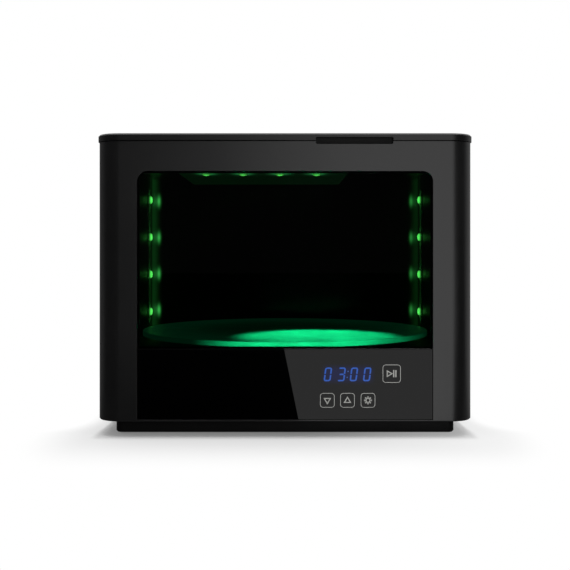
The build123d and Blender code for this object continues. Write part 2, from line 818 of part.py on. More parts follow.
# ---------------------------------------------------------------- fan
fan_front = rear_inner - fan_thickness
fan_axle_reach = fan_thickness / 2
with BuildPart() as fan_frame:
    with BuildSketch(facing_rear(fan_front)):
        rounded(fan_size, fan_size, fan_corner, 0, fan_z)
        with Locations((0, fan_z)):
            RegularPolygon(fan_bore, fan_sides, major_radius=False, mode=Mode.SUBTRACT)
    extrude(amount=fan_thickness)
    with BuildSketch(facing_rear(fan_front)):
        with Locations((0, fan_z)):
            RegularPolygon(fan_hub_radius, fan_sides)
            Rectangle(2 * fan_bore + fan_spider, fan_strut)
            Rectangle(fan_strut, 2 * fan_bore + fan_spider)
    extrude(amount=fan_spider)
    rod(facing_rear(fan_front + fan_spider), [(0, fan_z)], fan_axle_radius, fan_axle_reach)
    screw_holes(facing_rear(rear_inner), fan_screw_places, -screw_length)
keep(fan_frame, "fan_frame")

rotor_front = fan_front + fan_spider + fan_tip_gap
rotor_depth = fan_thickness - fan_spider - 2 * fan_tip_gap
blade_tip = fan_bore - fan_tip_gap
blade_chord = (rotor_depth - fan_blade_sheet) / cos(radians(fan_pitch))
blade_half = blade_chord / 2 * sin(radians(fan_pitch)) + fan_blade_sheet / 2 * cos(radians(fan_pitch))
blade_reach = sqrt(blade_tip**2 - blade_half**2)
with BuildPart() as fan_rotor:
    rod(facing_rear(rotor_front), [(0, fan_z)], fan_hub_radius, rotor_depth, sides=fan_sides)
    blade_root = Plane(origin=(fan_hub_radius - fan_spider, rotor_front + rotor_depth / 2, fan_z),
                       x_dir=(0, 1, 0), z_dir=(1, 0, 0))
    with BuildPart(mode=Mode.PRIVATE) as blade:
        with BuildSketch(blade_root):
            Rectangle(blade_chord, fan_blade_sheet, rotation=fan_pitch)
        extrude(amount=blade_reach - fan_hub_radius + fan_spider)
    for turn in range(fan_blades):
        add(blade.part.rotate(Axis((0, 0, fan_z), (0, 1, 0)), turn * 360 / fan_blades))
    rod(facing_rear(rotor_front), [(0, fan_z)], fan_axle_radius + shaft_play, fan_axle_reach + fan_tip_gap,
        Mode.SUBTRACT)
keep(fan_rotor, "fan_rotor")

# ---------------------------------------------------------------- power inlet and switch
with BuildPart() as power_inlet:
    rod(facing_rear(pocket_floor), [(-inlet_x, pocket_z)], inlet_nut_radius, inlet_nut, sides=post_sides)
    rod(facing_rear(pocket_floor), [(-inlet_x, pocket_z)], inlet_body_radius, -inlet_depth, sides=inlet_sides)
    rod(facing_rear(pocket_floor + inlet_nut), [(-inlet_x, pocket_z)], inlet_bore_radius,
        inlet_floor - inlet_depth, Mode.SUBTRACT, inlet_sides)
    rod(facing_rear(pocket_floor), [(-inlet_x, pocket_z)], inlet_pin_radius, inlet_pin_short - inlet_depth,
        sides=screw_sides)
keep(power_inlet, "power_inlet")

rocker_axis_y = pocket_floor + switch_flange - rocker_rise
with BuildPart() as switch_body:
    slab(facing_rear(pocket_floor), -switch_x, pocket_z, switch_width, switch_height, switch_flange)
    slab(facing_rear(pocket_floor), -switch_x, pocket_z, switch_width - 2 * switch_flange - 2 * screw_play,
         switch_height - 2 * switch_flange - 2 * screw_play, -switch_depth)
    with BuildSketch(level(pocket_z - switch_height / 2 + switch_wall + switch_flange)):
        with Locations((switch_x, rocker_axis_y)):
            Circle(rocker_radius + rocker_play)
    extrude(amount=switch_height - 2 * switch_wall - 2 * switch_flange, mode=Mode.SUBTRACT)
keep(switch_body, "switch_body")

rocker_height = switch_height - 2 * switch_wall - 2 * switch_flange - 2 * rocker_play
with BuildPart() as power_rocker:
    with BuildSketch(level(pocket_z - rocker_height / 2)):
        with Locations((switch_x, rocker_axis_y)):
            Circle(rocker_radius)
        crest = rocker_axis_y + rocker_rise
        rise = rocker_radius * 2 * sin(radians(rocker_angle))
        with BuildLine():
            Polyline(
                (switch_x, crest),
                (switch_x + 2 * rocker_radius, crest + 2 * rise),
                (switch_x + 2 * rocker_radius, crest + 4 * rocker_radius),
                (switch_x - 2 * rocker_radius, crest + 4 * rocker_radius),
                (switch_x - 2 * rocker_radius, crest),
                close=True,
            )
        make_face(mode=Mode.SUBTRACT)
    extrude(amount=rocker_height)
keep(power_rocker, "power_rocker")

# ---------------------------------------------------------------- hinge rail behind the lid, and its pins
knuckle_zone = knuckle_length + 2 * hinge_clear
hole_start = knuckle_spread - knuckle_zone / 2 - pin_reach


def across(x):
    # A plane at x that looks to the right: its x runs to the rear, its y is up.
    return Plane(origin=(x, 0, 0), x_dir=(0, 1, 0), z_dir=(1, 0, 0))


with BuildPart() as hinge_rail:
    with BuildSketch(level(housing_top)):
        RectangleRounded(lid_width, lid_depth, lid_corner)
    extrude(amount=lid_top_z - housing_top)
    chamfer(hinge_rail.edges().group_by(Axis.Z)[-1], lid_edge_bevel)
    with BuildSketch(across(-lid_width / 2)):
        with Locations(((hinge_y + lid_depth / 2) / 2, (housing_top + lid_top_z) / 2)):
            Rectangle(lid_depth / 2 - hinge_y, lid_top_z - housing_top)
        with Locations((hinge_y, hinge_z)):
            Circle(barrel_radius)
    extrude(amount=lid_width, mode=Mode.INTERSECT)
    slab(level(rim_top), 0, rear_inner - rail_foot_play - rail_foot_depth / 2,
         inner_width - 2 * rail_foot_end, rail_foot_depth, housing_top - rim_top)
    slot_back = hinge_y + knuckle_radius + hinge_edge_gap
    with BuildSketch(level(housing_top)):
        with Locations((0, (lid_rear_edge + slot_back) / 2)):
            with GridLocations(2 * knuckle_spread, 0, 2, 1):
                Rectangle(knuckle_zone, slot_back - lid_rear_edge)
    extrude(amount=lid_top_z - housing_top, mode=Mode.SUBTRACT)
    rod(across(hole_start), [(hinge_y, hinge_z)], pin_radius + pin_play, lid_width, Mode.SUBTRACT)
    rod(across(-hole_start), [(hinge_y, hinge_z)], pin_radius + pin_play, -lid_width, Mode.SUBTRACT)
keep(hinge_rail, "hinge_rail")

with BuildPart() as hinge_pins:
    rod(across(hole_start), [(hinge_y, hinge_z)], pin_radius, knuckle_zone + 2 * pin_reach)
    rod(across(-hole_start), [(hinge_y, hinge_z)], pin_radius, -knuckle_zone - 2 * pin_reach)
keep(hinge_pins, "hinge_pins")

# ---------------------------------------------------------------- lid shell with its knuckles
with BuildPart() as lid_shell:
    with BuildSketch(level(lid_bottom)):
        RectangleRounded(lid_width, lid_depth, lid_corner)
    extrude(amount=lid_height)
    chamfer(lid_shell.edges().group_by(Axis.Z)[-1], lid_edge_bevel)
    slab(level(lid_bottom), 0, lid_rear_edge + lid_depth / 2, lid_width, lid_depth, lid_height, Mode.SUBTRACT)
    with BuildSketch(level(lid_bottom)):
        RectangleRounded(lid_width - 2 * lid_wall, lid_depth - 2 * lid_wall, lid_corner - lid_wall)
        with Locations((0, lid_rear_edge - lid_wall + lid_depth / 2)):
            Rectangle(lid_width, lid_depth, mode=Mode.SUBTRACT)
    extrude(amount=lid_height - lid_top, mode=Mode.SUBTRACT)
    for side in (-1, 1):
        slab(level(lid_bottom), side * knuckle_spread, (lid_rear_edge + hinge_y) / 2, knuckle_length,
             hinge_y - lid_rear_edge, lid_height)
        rod(across(side * knuckle_spread - knuckle_length / 2), [(hinge_y, hinge_z)], knuckle_radius,
            knuckle_length)
    rod(across(-lid_width / 2), [(hinge_y, hinge_z)], pin_radius + pin_play, lid_width, Mode.SUBTRACT)
    with BuildSketch(facing_front(-lid_depth / 2 + lid_wall)) as lid_notch:
        with Locations((notch_centre, housing_top)):
            Rectangle(notch_width, 2 * notch_above)
        fillet(lid_notch.vertices().group_by(Axis.Y)[-1], notch_corner)
    extrude(amount=lid_wall, mode=Mode.SUBTRACT)
keep(lid_shell, "lid_shell")

# ---------------------------------------------------------------- finger cup behind the notch
skirt_inner = -lid_depth / 2 + lid_wall
cup_floor = -lid_depth / 2 + notch_depth
with BuildPart() as finger_cup:
    slab(level(lid_bottom), notch_centre, (skirt_inner + cup_floor + cup_wall) / 2,
         notch_width + 2 * cup_margin, cup_floor + cup_wall - skirt_inner, lid_under - lid_bottom)
    with BuildSketch(facing_front(cup_floor)) as cup_pocket:
        with Locations((notch_centre, housing_top)):
            Rectangle(notch_width, 2 * notch_above)
        fillet(cup_pocket.vertices().group_by(Axis.Y)[-1], notch_corner)
    extrude(amount=notch_depth, mode=Mode.SUBTRACT)
    slab(level(rim_top + lid_gap), notch_centre, cup_floor + cup_wall / 2, notch_width + 2 * cup_margin,
         cup_wall, lid_bottom - rim_top - lid_gap)
keep(finger_cup, "finger_cup")

# ---------------------------------------------------------------- lid lining, seal and magnet
lining_width = 2 * (opening_half - lining_clear)
lining_depth = opening_depth - 2 * lining_clear
lining_corner = liner_bend - lining_clear
with BuildPart() as lid_lining:
    with BuildSketch(level(lining_under)):
        rounded(lining_width, lining_depth, lining_corner, 0, opening_y)
    extrude(amount=lining_drop)
    chamfer(lid_lining.edges().group_by(Axis.Z)[0], lining_sheet / 2)
    with BuildSketch(level(lining_under + lining_sheet)):
        rounded(lining_width - 2 * lining_sheet, lining_depth - 2 * lining_sheet,
                lining_corner - lining_sheet, 0, opening_y)
    extrude(amount=lining_drop, mode=Mode.SUBTRACT)
    with BuildSketch(level(lid_under)):
        rounded(lining_width + 2 * lining_flange, lining_depth + 2 * lining_flange,
                lining_corner + lining_flange, 0, opening_y)
        with Locations((0, opening_y)):
            RectangleRounded(lining_width - 2 * lining_sheet, lining_depth - 2 * lining_sheet,
                             lining_corner - lining_sheet, mode=Mode.SUBTRACT)
    extrude(amount=-lining_sheet)
keep(lid_lining, "lid_lining")

seal_inner_width = 2 * (opening_half + seal_inset)
seal_inner_depth = opening_depth + 2 * seal_inset
seal_corner = liner_bend + seal_inset + seal_width
with BuildPart() as lid_seal:
    with BuildSketch(level(lid_under - seal_height)):
        rounded(seal_inner_width + 2 * seal_width, seal_inner_depth + 2 * seal_width, seal_corner, 0,
                opening_y)
        with Locations((0, opening_y)):
            RectangleRounded(seal_inner_width, seal_inner_depth, seal_corner - seal_width, mode=Mode.SUBTRACT)
    extrude(amount=seal_height)
keep(lid_seal, "lid_seal")

magnet_y = (opening_back + lining_flange + lid_rear_edge) / 2
with BuildPart() as lid_magnet:
    rod(level(lid_under - magnet_height), [(sensor_x, magnet_y)], magnet_radius, magnet_height,
        sides=magnet_sides)
keep(lid_magnet, "lid_magnet")

with BuildPart() as lid_sensor:
    slab(level(rim_bottom - sensor_height), sensor_x, magnet_y, sensor_width, sensor_depth, sensor_height)
keep(lid_sensor, "lid_sensor")

# ---------------------------------------------------------------- ceiling lamp under the lining
tray_floor = tray_under + lamp_tray_sheet
ceiling_plane = Plane(origin=(0, 0, tray_floor), x_dir=(1, 0, 0), z_dir=(0, 0, -1))
ceiling_places = [
    (ceiling_led_x + (step - (ceiling_led_count - 1) / 2) * ceiling_led_pitch, -ceiling_led_y)
    for step in range(ceiling_led_count)
]
with BuildPart() as lamp_tray:
    with BuildSketch(level(tray_under)):
        rounded(lamp_tray_width, lamp_tray_depth, lamp_tray_corner, lamp_tray_x, lamp_tray_y)
    extrude(amount=lamp_tray_height)
    chamfer(lamp_tray.edges().group_by(Axis.Z)[0], lamp_tray_sheet / 2)
    with BuildSketch(level(tray_floor)):
        rounded(lamp_tray_width - 2 * lamp_tray_sheet, lamp_tray_depth - 2 * lamp_tray_sheet,
                lamp_tray_corner - lamp_tray_sheet, lamp_tray_x, lamp_tray_y)
    extrude(amount=lamp_tray_height, mode=Mode.SUBTRACT)
    with BuildSketch(ceiling_plane) as lamp_openings:
        with Locations(*ceiling_places):
            Rectangle(led_base + 2 * led_hole_play, led_base + 2 * led_hole_play)
    extrude(lamp_openings.sketch, amount=lamp_tray_sheet, mode=Mode.SUBTRACT)
keep(lamp_tray, "lamp_tray")

ceiling_board_width = (ceiling_led_count - 1) * ceiling_led_pitch + 2 * lamp_board_end
with BuildPart() as ceiling_board:
    slab(level(tray_floor), ceiling_led_x, ceiling_led_y, ceiling_board_width, lamp_board_width, board_sheet)
keep(ceiling_board, "ceiling_board")

lamp_group(ceiling_plane, ceiling_places, lamp_tray_sheet, "ceiling_lamps")
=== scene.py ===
import json
import math

import bmesh
import bpy
import numpy as np
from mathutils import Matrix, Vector

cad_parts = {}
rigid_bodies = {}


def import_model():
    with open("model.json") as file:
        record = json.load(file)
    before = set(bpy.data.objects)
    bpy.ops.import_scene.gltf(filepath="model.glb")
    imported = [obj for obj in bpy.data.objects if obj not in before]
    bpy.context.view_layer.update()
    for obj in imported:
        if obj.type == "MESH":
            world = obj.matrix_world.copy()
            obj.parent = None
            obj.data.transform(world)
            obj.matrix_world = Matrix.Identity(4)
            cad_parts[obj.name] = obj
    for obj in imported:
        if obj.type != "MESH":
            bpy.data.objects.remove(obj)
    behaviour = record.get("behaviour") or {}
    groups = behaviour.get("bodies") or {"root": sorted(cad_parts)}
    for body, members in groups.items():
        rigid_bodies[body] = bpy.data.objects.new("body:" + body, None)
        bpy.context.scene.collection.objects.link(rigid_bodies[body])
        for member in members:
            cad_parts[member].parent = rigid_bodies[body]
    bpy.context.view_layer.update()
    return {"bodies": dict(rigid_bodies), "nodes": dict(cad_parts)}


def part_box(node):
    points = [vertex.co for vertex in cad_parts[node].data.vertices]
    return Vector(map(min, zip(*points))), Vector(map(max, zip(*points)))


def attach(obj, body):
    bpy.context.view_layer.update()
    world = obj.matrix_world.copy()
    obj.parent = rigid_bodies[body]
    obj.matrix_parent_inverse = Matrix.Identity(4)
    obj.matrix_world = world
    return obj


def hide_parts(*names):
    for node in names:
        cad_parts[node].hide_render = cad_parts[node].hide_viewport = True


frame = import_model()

nodes = frame["nodes"]
mm = 0.001
print("frame loaded:", len(nodes), "nodes")


# measures read from the frame
def corner(node, which, axis):
    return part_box(node)[which]["xyz".index(axis)]


panelFront = corner("control_fascia", 0, "y")
discTop = corner("turntable_disc", 1, "z")
discBottom = corner("turntable_disc", 0, "z")
discRadius = corner("turntable_disc", 1, "x")
discY = (corner("turntable_disc", 0, "y") + corner("turntable_disc", 1, "y")) / 2

# how meshes are merged, shaded and given broken edges; angles in degrees
surface = {
    "smooth": 35,
    "merge": 0.004 * mm,
    "flat": 0.6,
    "sharp": 50,
    "bevelSegments": 2,
    "normalWeight": 100,
}


def meshObject(name, points, faces, material, body, slot, smoothAngle=surface["smooth"]):
    # one piece from points and faces, shaded and riding on a body
    mesh = bpy.data.meshes.new(name)
    mesh.from_pydata(np.asarray(points, float).tolist(), [], [list(map(int, f)) for f in faces])
    return finishObject(name, mesh, material, body, smoothAngle)


def finishObject(name, mesh, material, body, smoothAngle=surface["smooth"]):
    mesh.validate()
    mesh.polygons.foreach_set("use_smooth", np.ones(len(mesh.polygons), bool))
    mesh.set_sharp_from_angle(angle=math.radians(smoothAngle))
    piece = bpy.data.objects.new(name, mesh)
    bpy.context.scene.collection.objects.link(piece)
    mesh.materials.append(material)
    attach(piece, body)
    return piece


def evenNormals(piece):
    weighted = piece.modifiers.new("evenNormals", "WEIGHTED_NORMAL")
    weighted.keep_sharp = True
    weighted.weight = surface["normalWeight"]


def refine(node, name, material, body, bevel=0.25 * mm, smoothAngle=30):
    # a merged copy of a frame node, with its flat areas made single faces and its edges broken
    work = bmesh.new()
    work.from_mesh(nodes[node].data)
    bmesh.ops.remove_doubles(work, verts=work.verts, dist=surface["merge"])
    bmesh.ops.dissolve_limit(work, angle_limit=math.radians(surface["flat"]), verts=work.verts,
                             edges=work.edges)
    mesh = bpy.data.meshes.new(name)
    work.to_mesh(mesh)
    work.free()
    piece = finishObject(name, mesh, material, body, smoothAngle)
    if bevel:
        edge = piece.modifiers.new("brokenEdges", "BEVEL")
        edge.width = bevel
        edge.segments = surface["bevelSegments"]
        edge.limit_method = "ANGLE"
        edge.angle_limit = math.radians(surface["sharp"])
        edge.use_clamp_overlap = True
        edge.harden_normals = False
    evenNormals(piece)
    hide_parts(node)
    return piece


def dress(node, material):
    # gives a frame node a better material and leaves its mesh alone
    for slotIndex in range(len(nodes[node].material_slots)):
        nodes[node].material_slots[slotIndex].material = material
    if not nodes[node].material_slots:
        nodes[node].data.materials.append(material)


def blank(name, **sockets):
    material = bpy.data.materials.new(name)
    material.use_nodes = True
    tree = material.node_tree
    shader = tree.nodes["Principled BSDF"]
    for socket, value in sockets.items():
        shader.inputs[socket.replace("_", " ")].default_value = value
    return material, tree, shader


def noiseNode(tree, scale, detail=4.0, roughness=0.5, stretch=(1, 1, 1)):
    coords = tree.nodes.new("ShaderNodeTexCoord")
    mapping = tree.nodes.new("ShaderNodeMapping")
    mapping.inputs["Scale"].default_value = stretch
    noise = tree.nodes.new("ShaderNodeTexNoise")
    noise.inputs["Scale"].default_value = scale
    noise.inputs["Detail"].default_value = detail
    noise.inputs["Roughness"].default_value = roughness
    tree.links.new(coords.outputs["Object"], mapping.inputs["Vector"])
    tree.links.new(mapping.outputs["Vector"], noise.inputs["Vector"])
    return noise


def ramp(tree, source, low, high, lowAt=0.35, highAt=0.65):
    # maps a 0..1 source to low..high; both may be numbers or colours
    node = tree.nodes.new("ShaderNodeMapRange" if np.isscalar(low) else "ShaderNodeValToRGB")
    if np.isscalar(low):
        node.inputs["From Min"].default_value = lowAt
        node.inputs["From Max"].default_value = highAt
        node.inputs["To Min"].default_value = low
        node.inputs["To Max"].default_value = high
        tree.links.new(source, node.inputs["Value"])
        return node.outputs["Result"]
    node.color_ramp.elements[0].position = lowAt
    node.color_ramp.elements[1].position = highAt
    node.color_ramp.elements[0].color = (*low, 1)
    node.color_ramp.elements[1].color = (*high, 1)
    tree.links.new(source, node.inputs["Fac"])
    return node.outputs["Color"]


def bump(tree, shader, source, strength, distance):
    node = tree.nodes.new("ShaderNodeBump")
    node.inputs["Strength"].default_value = strength
    node.inputs["Distance"].default_value = distance
    tree.links.new(source, node.inputs["Height"])
    tree.links.new(node.outputs["Normal"], shader.inputs["Normal"])


def smoothly(tree, value, low, high):
    # 0 below low, 1 above high and a smooth step between
    node = tree.nodes.new("ShaderNodeMapRange")
    node.interpolation_type = "SMOOTHSTEP"
    backwards = low > high
    node.inputs["From Min"].default_value = min(low, high)
    node.inputs["From Max"].default_value = max(low, high)
    node.inputs["To Min"].default_value = 1.0 if backwards else 0.0
    node.inputs["To Max"].default_value = 0.0 if backwards else 1.0
    tree.links.new(value, node.inputs["Value"])
    return node.outputs["Result"]


def mathNode(tree, operation, a, b=None):
    node = tree.nodes.new("ShaderNodeMath")
    node.operation = operation
    for index, value in enumerate((a, b)):
        if value is None:
            continue
        if isinstance(value, (int, float)):
            node.inputs[index].default_value = value
        else:
            tree.links.new(value, node.inputs[index])
    return node.outputs["Value"]


def lerp(tree, fraction, low, high):
    # low where the fraction is 0, high where it is 1
    node = tree.nodes.new("ShaderNodeMapRange")
    for socket, value in (("Value", fraction), ("To Min", low), ("To Max", high)):
        if isinstance(value, (int, float)):
            node.inputs[socket].default_value = value
        else:
            tree.links.new(value, node.inputs[socket])
    return node.outputs["Result"]


def product(tree, *values):
    result = values[0]
    for value in values[1:]:
        result = mathNode(tree, "MULTIPLY", result, value)
    return result


def total(tree, *values):
    result = values[0]
    for value in values[1:]:
        result = mathNode(tree, "ADD", result, value)
    return result


def bell(tree, value, centre, width):
    # one at the centre, falling as e to the power of minus half the squared count of widths away
    steps = mathNode(tree, "DIVIDE", mathNode(tree, "SUBTRACT", value, centre), width)
    return mathNode(tree, "EXPONENT", product(tree, steps, steps, -0.5))


def lengthOf(tree, a, b):
    # square root of the sum of both squares
    return mathNode(tree, "SQRT", total(tree, product(tree, a, a), product(tree, b, b)))


def placeOf(tree):
    # object coordinates, split
    coords = tree.nodes.new("ShaderNodeTexCoord")
    split = tree.nodes.new("ShaderNodeSeparateXYZ")
    tree.links.new(coords.outputs["Object"], split.inputs["Vector"])
    return split.outputs["X"], split.outputs["Y"], split.outputs["Z"]


# grain of the finishes: a noise is its scale, its detail and, for lines, its roughness
finish = {
    "cloud": (14, 5),
    "peelDetail": 3,
    "peelStrength": 0.25,
    "lacquer": (300, 3),
    "mouldedDark": 0.85,
    "mouldedRough": (0.9, 1.1),
    "lines": (90, 6, 0.6),
    "lineDark": 0.8,
    "lineRough": (0.8, 1.3),
    "lineStrength": 0.15,
    "lineDepth": 0.01 * mm,
    "diffuser": (900, 3),
    "diffuserDark": 0.85,
    "diffuserRough": (0.25, 0.4),
}


def darker(color, share):
    return tuple(channel * share for channel in color)


def paint(name, dark, light, rough=(0.36, 0.46), grain=2600, grainDepth=0.02 * mm, **sockets):
    # satin powder paint: a fine orange-peel grain, faint cloudiness in colour and in gloss
    material, tree, shader = blank(name, **sockets)
    cloud = noiseNode(tree, *finish["cloud"])
    tree.links.new(ramp(tree, cloud.outputs["Fac"], dark, light), shader.inputs["Base Color"])
    tree.links.new(ramp(tree, cloud.outputs["Fac"], rough[0], rough[1]), shader.inputs["Roughness"])
    peel = noiseNode(tree, grain, finish["peelDetail"])
    bump(tree, shader, peel.outputs["Fac"], finish["peelStrength"], grainDepth)
    return material


def moulded(name, color, rough=0.5, grain=1800, depth=0.01 * mm, **sockets):
    # moulded plastic or rubber: even colour with slight mottling and a fine texture
    least, most = finish["mouldedRough"]
    return paint(name, darker(color, finish["mouldedDark"]), color, (rough * least, rough * most), grain,
                 depth, **sockets)


def metal(name, color, rough=0.3, along=(1, 1, 40), **sockets):
    # worked metal: fine lines along one direction
    material, tree, shader = blank(name, Metallic=1.0, **sockets)
    lines = noiseNode(tree, *finish["lines"], along).outputs["Fac"]
    least, most = finish["lineRough"]
    tree.links.new(ramp(tree, lines, darker(color, finish["lineDark"]), color), shader.inputs["Base Color"])
    tree.links.new(ramp(tree, lines, rough * least, rough * most), shader.inputs["Roughness"])
    bump(tree, shader, lines, finish["lineStrength"], finish["lineDepth"])
    return material


def glowing(name, color, strength, body=(0.02, 0.02, 0.02)):
    # lit plastic: its glow is a little uneven, as behind a moulded diffuser
    material, tree, shader = blank(name)
    cloud = noiseNode(tree, *finish["diffuser"]).outputs["Fac"]
    tree.links.new(ramp(tree, cloud, *finish["diffuserRough"]), shader.inputs["Roughness"])
    tree.links.new(ramp(tree, cloud, darker(color, finish["diffuserDark"]), color),
                   shader.inputs["Emission Color"])
    shader.inputs["Base Color"].default_value = (*body, 1)
    shader.inputs["Emission Strength"].default_value = strength
    return material


# lamp lenses and their lights; a dome is its radius, its rise and its fullness
lenses = {
    "base": 10 * mm,
    "baseHeight": 0.4 * mm,
    "baseCorner": 0.6 * mm,
    "columnDome": (4.6 * mm, 2.75 * mm, 0.5),
    "ceilingDome": (5.0 * mm, 2.75 * mm, 1.1),
    "crownFlat": 0.02,
    "count": 4,
    "smooth": 50,
    "lightAhead": 4.5 * mm,
    "lightRadius": 4 * mm,
    "columnPower": 0.012,
    "ceilingPower": 0.008,
    "columnGlow": 1.8,
    "ceilingGlow": 1.3,
    "columnNear": (2.4 * mm, 5.2 * mm),
    "ceilingNear": (1.0 * mm, 6.0 * mm),
    "crownGlow": (3.0 * mm, 1.2 * mm),
    "baseSteps": 3,
    "dimShare": 0.15,
}


def fromLamp(tree, place, node, axis):
    # distance along a row of lamps from the nearest of them
    low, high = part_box(node)
    pitch = (high[axis] - low[axis] - lenses["base"]) / (lenses["count"] - 1)
    return mathNode(tree, "PINGPONG", mathNode(tree, "SUBTRACT", place[axis], low[axis] + lenses["base"] / 2),
                    pitch / 2)


# painted lamp light of the chamber's liner; a patch is its place across, its width and its share
paintedLinerLight = {
    "color": (0.09, 1.0, 0.17),
    "backStarts": (118 * mm, 128 * mm),
    "wallRougher": 0.2,
    "rough": (0.15, 0.19),
    "patchRise": 3.8 * mm,
    "patches": ((149.7 * mm, 1.25 * mm, 0.85), (153.5 * mm, 2.5 * mm, 0.2)),
    "patchGlow": 0.8,
    "stripe": (156 * mm, 3.5 * mm),
    "stripeEnds": (158 * mm, 157 * mm),
    "stripeGlow": 0.046,
    "haloWidth": 6.5 * mm,
    "haloGlow": 0.08,
    "sideTurn": 50 * mm,
    "rightShare": 0.52,
}


def linerLacquerAndPaintedLight():
    # black lacquer, glossier on the back; near the lamps it carries painted lamp light as a weak glow:
    # painted patches and a stripe in each rear bend and a painted halo on the side walls, weaker on the right
    material, tree, shader = blank("linerGloss", IOR=1.3)
    cloud = noiseNode(tree, *finish["lacquer"]).outputs["Fac"]
    tree.links.new(ramp(tree, cloud, (0.0018, 0.0018, 0.0018), (0.0026, 0.0027, 0.0026)),
                   shader.inputs["Base Color"])
    place = placeOf(tree)
    across = mathNode(tree, "ABSOLUTE", place[0])
    behind = smoothly(tree, place[1], *paintedLinerLight["backStarts"])
    wall = mathNode(tree, "SUBTRACT", 1.0, behind)
    tree.links.new(total(tree, product(tree, wall, paintedLinerLight["wallRougher"]),
                         ramp(tree, cloud, *paintedLinerLight["rough"])), shader.inputs["Roughness"])
    level = bell(tree, fromLamp(tree, place, "column_lamps_left", 2), 0.0, paintedLinerLight["patchRise"])
    patch = total(tree, *(product(tree, bell(tree, across, centre, width), share)
                          for centre, width, share in paintedLinerLight["patches"]))
    stripe = product(tree, bell(tree, across, *paintedLinerLight["stripe"]),
                     smoothly(tree, across, *paintedLinerLight["stripeEnds"]), paintedLinerLight["stripeGlow"])
    bend = product(tree, total(tree, product(tree, patch, level, paintedLinerLight["patchGlow"]), stripe), behind)
    low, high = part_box("column_lamps_left")
    halo = product(tree, bell(tree, place[1], (low[1] + high[1]) / 2, paintedLinerLight["haloWidth"]), level, wall,
                   paintedLinerLight["haloGlow"])
    leftness = smoothly(tree, place[0], paintedLinerLight["sideTurn"], -paintedLinerLight["sideTurn"])
    side = total(tree, product(tree, leftness, 1 - paintedLinerLight["rightShare"]), paintedLinerLight["rightShare"])
    tree.links.new(product(tree, total(tree, bend, halo), side), shader.inputs["Emission Strength"])
    shader.inputs["Emission Color"].default_value = (*paintedLinerLight["color"], 1)
    return material


# painted lamp light on the lamp tray: a halo round each ceiling lamp and a weak glow everywhere
paintedTrayLight = {
    "color": (0.08, 1.0, 0.25),
    "rowEnd": 20 * mm,
    "haloAlong": 5.5 * mm,
    "haloAcross": 9 * mm,
    "halo": 0.42,
    "everywhere": 0.008,
    "rough": (0.3, 0.38),
}


def trayLacquerAndPaintedLight():
    # lacquer with a near-black, slightly green base colour; painted lamp light: a halo round each ceiling
    # lamp and a weak glow all over
    material, tree, shader = blank("trayPaintAndPaintedLight")
    cloud = noiseNode(tree, *finish["lacquer"]).outputs["Fac"]
    tree.links.new(ramp(tree, cloud, (0.008, 0.012, 0.009), (0.012, 0.016, 0.013)),
                   shader.inputs["Base Color"])
    tree.links.new(ramp(tree, cloud, *paintedTrayLight["rough"]), shader.inputs["Roughness"])
    place = placeOf(tree)
    low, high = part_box("ceiling_lamps")
    inRow = product(tree, smoothly(tree, place[0], low[0] - paintedTrayLight["rowEnd"], low[0]),
                    smoothly(tree, place[0], high[0] + paintedTrayLight["rowEnd"], high[0]))
    halo = product(tree, bell(tree, fromLamp(tree, place, "ceiling_lamps", 0), 0.0, paintedTrayLight["haloAlong"]),
                   bell(tree, place[1], (low[1] + high[1]) / 2, paintedTrayLight["haloAcross"]), inRow,
                   paintedTrayLight["halo"])
    tree.links.new(total(tree, halo, paintedTrayLight["everywhere"]), shader.inputs["Emission Strength"])
    shader.inputs["Emission Color"].default_value = (*paintedTrayLight["color"], 1)
    return material


def lensGlow(name, color, body, strength, node, axis, outward, inner, outer):
    # lens plastic lit from behind: brightest in front of its diode and at its crown
    material = glowing(name, color, strength, body)
    tree = material.node_tree
    place = placeOf(tree)
    near = smoothly(tree, fromLamp(tree, place, node, axis), outer, inner)
    low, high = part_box(node)
    height = mathNode(tree, "SUBTRACT", mathNode(tree, "ABSOLUTE", place[outward]),
                      min(abs(low[outward]), abs(high[outward])))
    crown = smoothly(tree, height, *lenses["crownGlow"])
    dim = lenses["dimShare"]
    tree.links.new(product(tree, total(tree, product(tree, near, 1 - dim), dim),
                           total(tree, product(tree, crown, 1 - dim), dim), strength),
                   tree.nodes["Principled BSDF"].inputs["Emission Strength"])
    return material


housingPaint = paint("housingPaint", (0.0058, 0.0058, 0.006), (0.0072, 0.0072, 0.0074), (0.285, 0.31))
lidPaint = paint("lidPaint", (0.0052, 0.0052, 0.0054), (0.0064, 0.0064, 0.0066), (0.285, 0.31),
                 Specular_IOR_Level=0.36)
panPaint = paint("panPaint", (0.0025, 0.0025, 0.0025), (0.0033, 0.0033, 0.0033), (0.5, 0.58),
                 Specular_IOR_Level=0.2)
rimPaint = paint("rimPaint", (0.006, 0.006, 0.006), (0.008, 0.008, 0.008), (0.5, 0.6))
linerGloss = linerLacquerAndPaintedLight()
liningGloss = paint("liningGloss", (0.0018, 0.0018, 0.0018), (0.0026, 0.0027, 0.0026), (0.2, 0.25), 300,
                    0.003 * mm)
deckPaint = paint("deckPaint", (0.002, 0.002, 0.002), (0.003, 0.003, 0.003), (0.45, 0.55),
                  Specular_IOR_Level=0.1)
trayPaintAndPaintedLight = trayLacquerAndPaintedLight()
fasciaGloss = paint("fasciaGloss", (0.0003, 0.0003, 0.0004), (0.0005, 0.0005, 0.0006), (0.01, 0.014), 200,
                    0.0002 * mm, IOR=1.3)
framePlastic = moulded("framePlastic", (0.006, 0.006, 0.006), 0.6)
cupPlastic = moulded("cupPlastic", (0.003, 0.003, 0.003), 0.6, Specular_IOR_Level=0.2)
blackPlastic = moulded("blackPlastic", (0.012, 0.012, 0.012), 0.45)
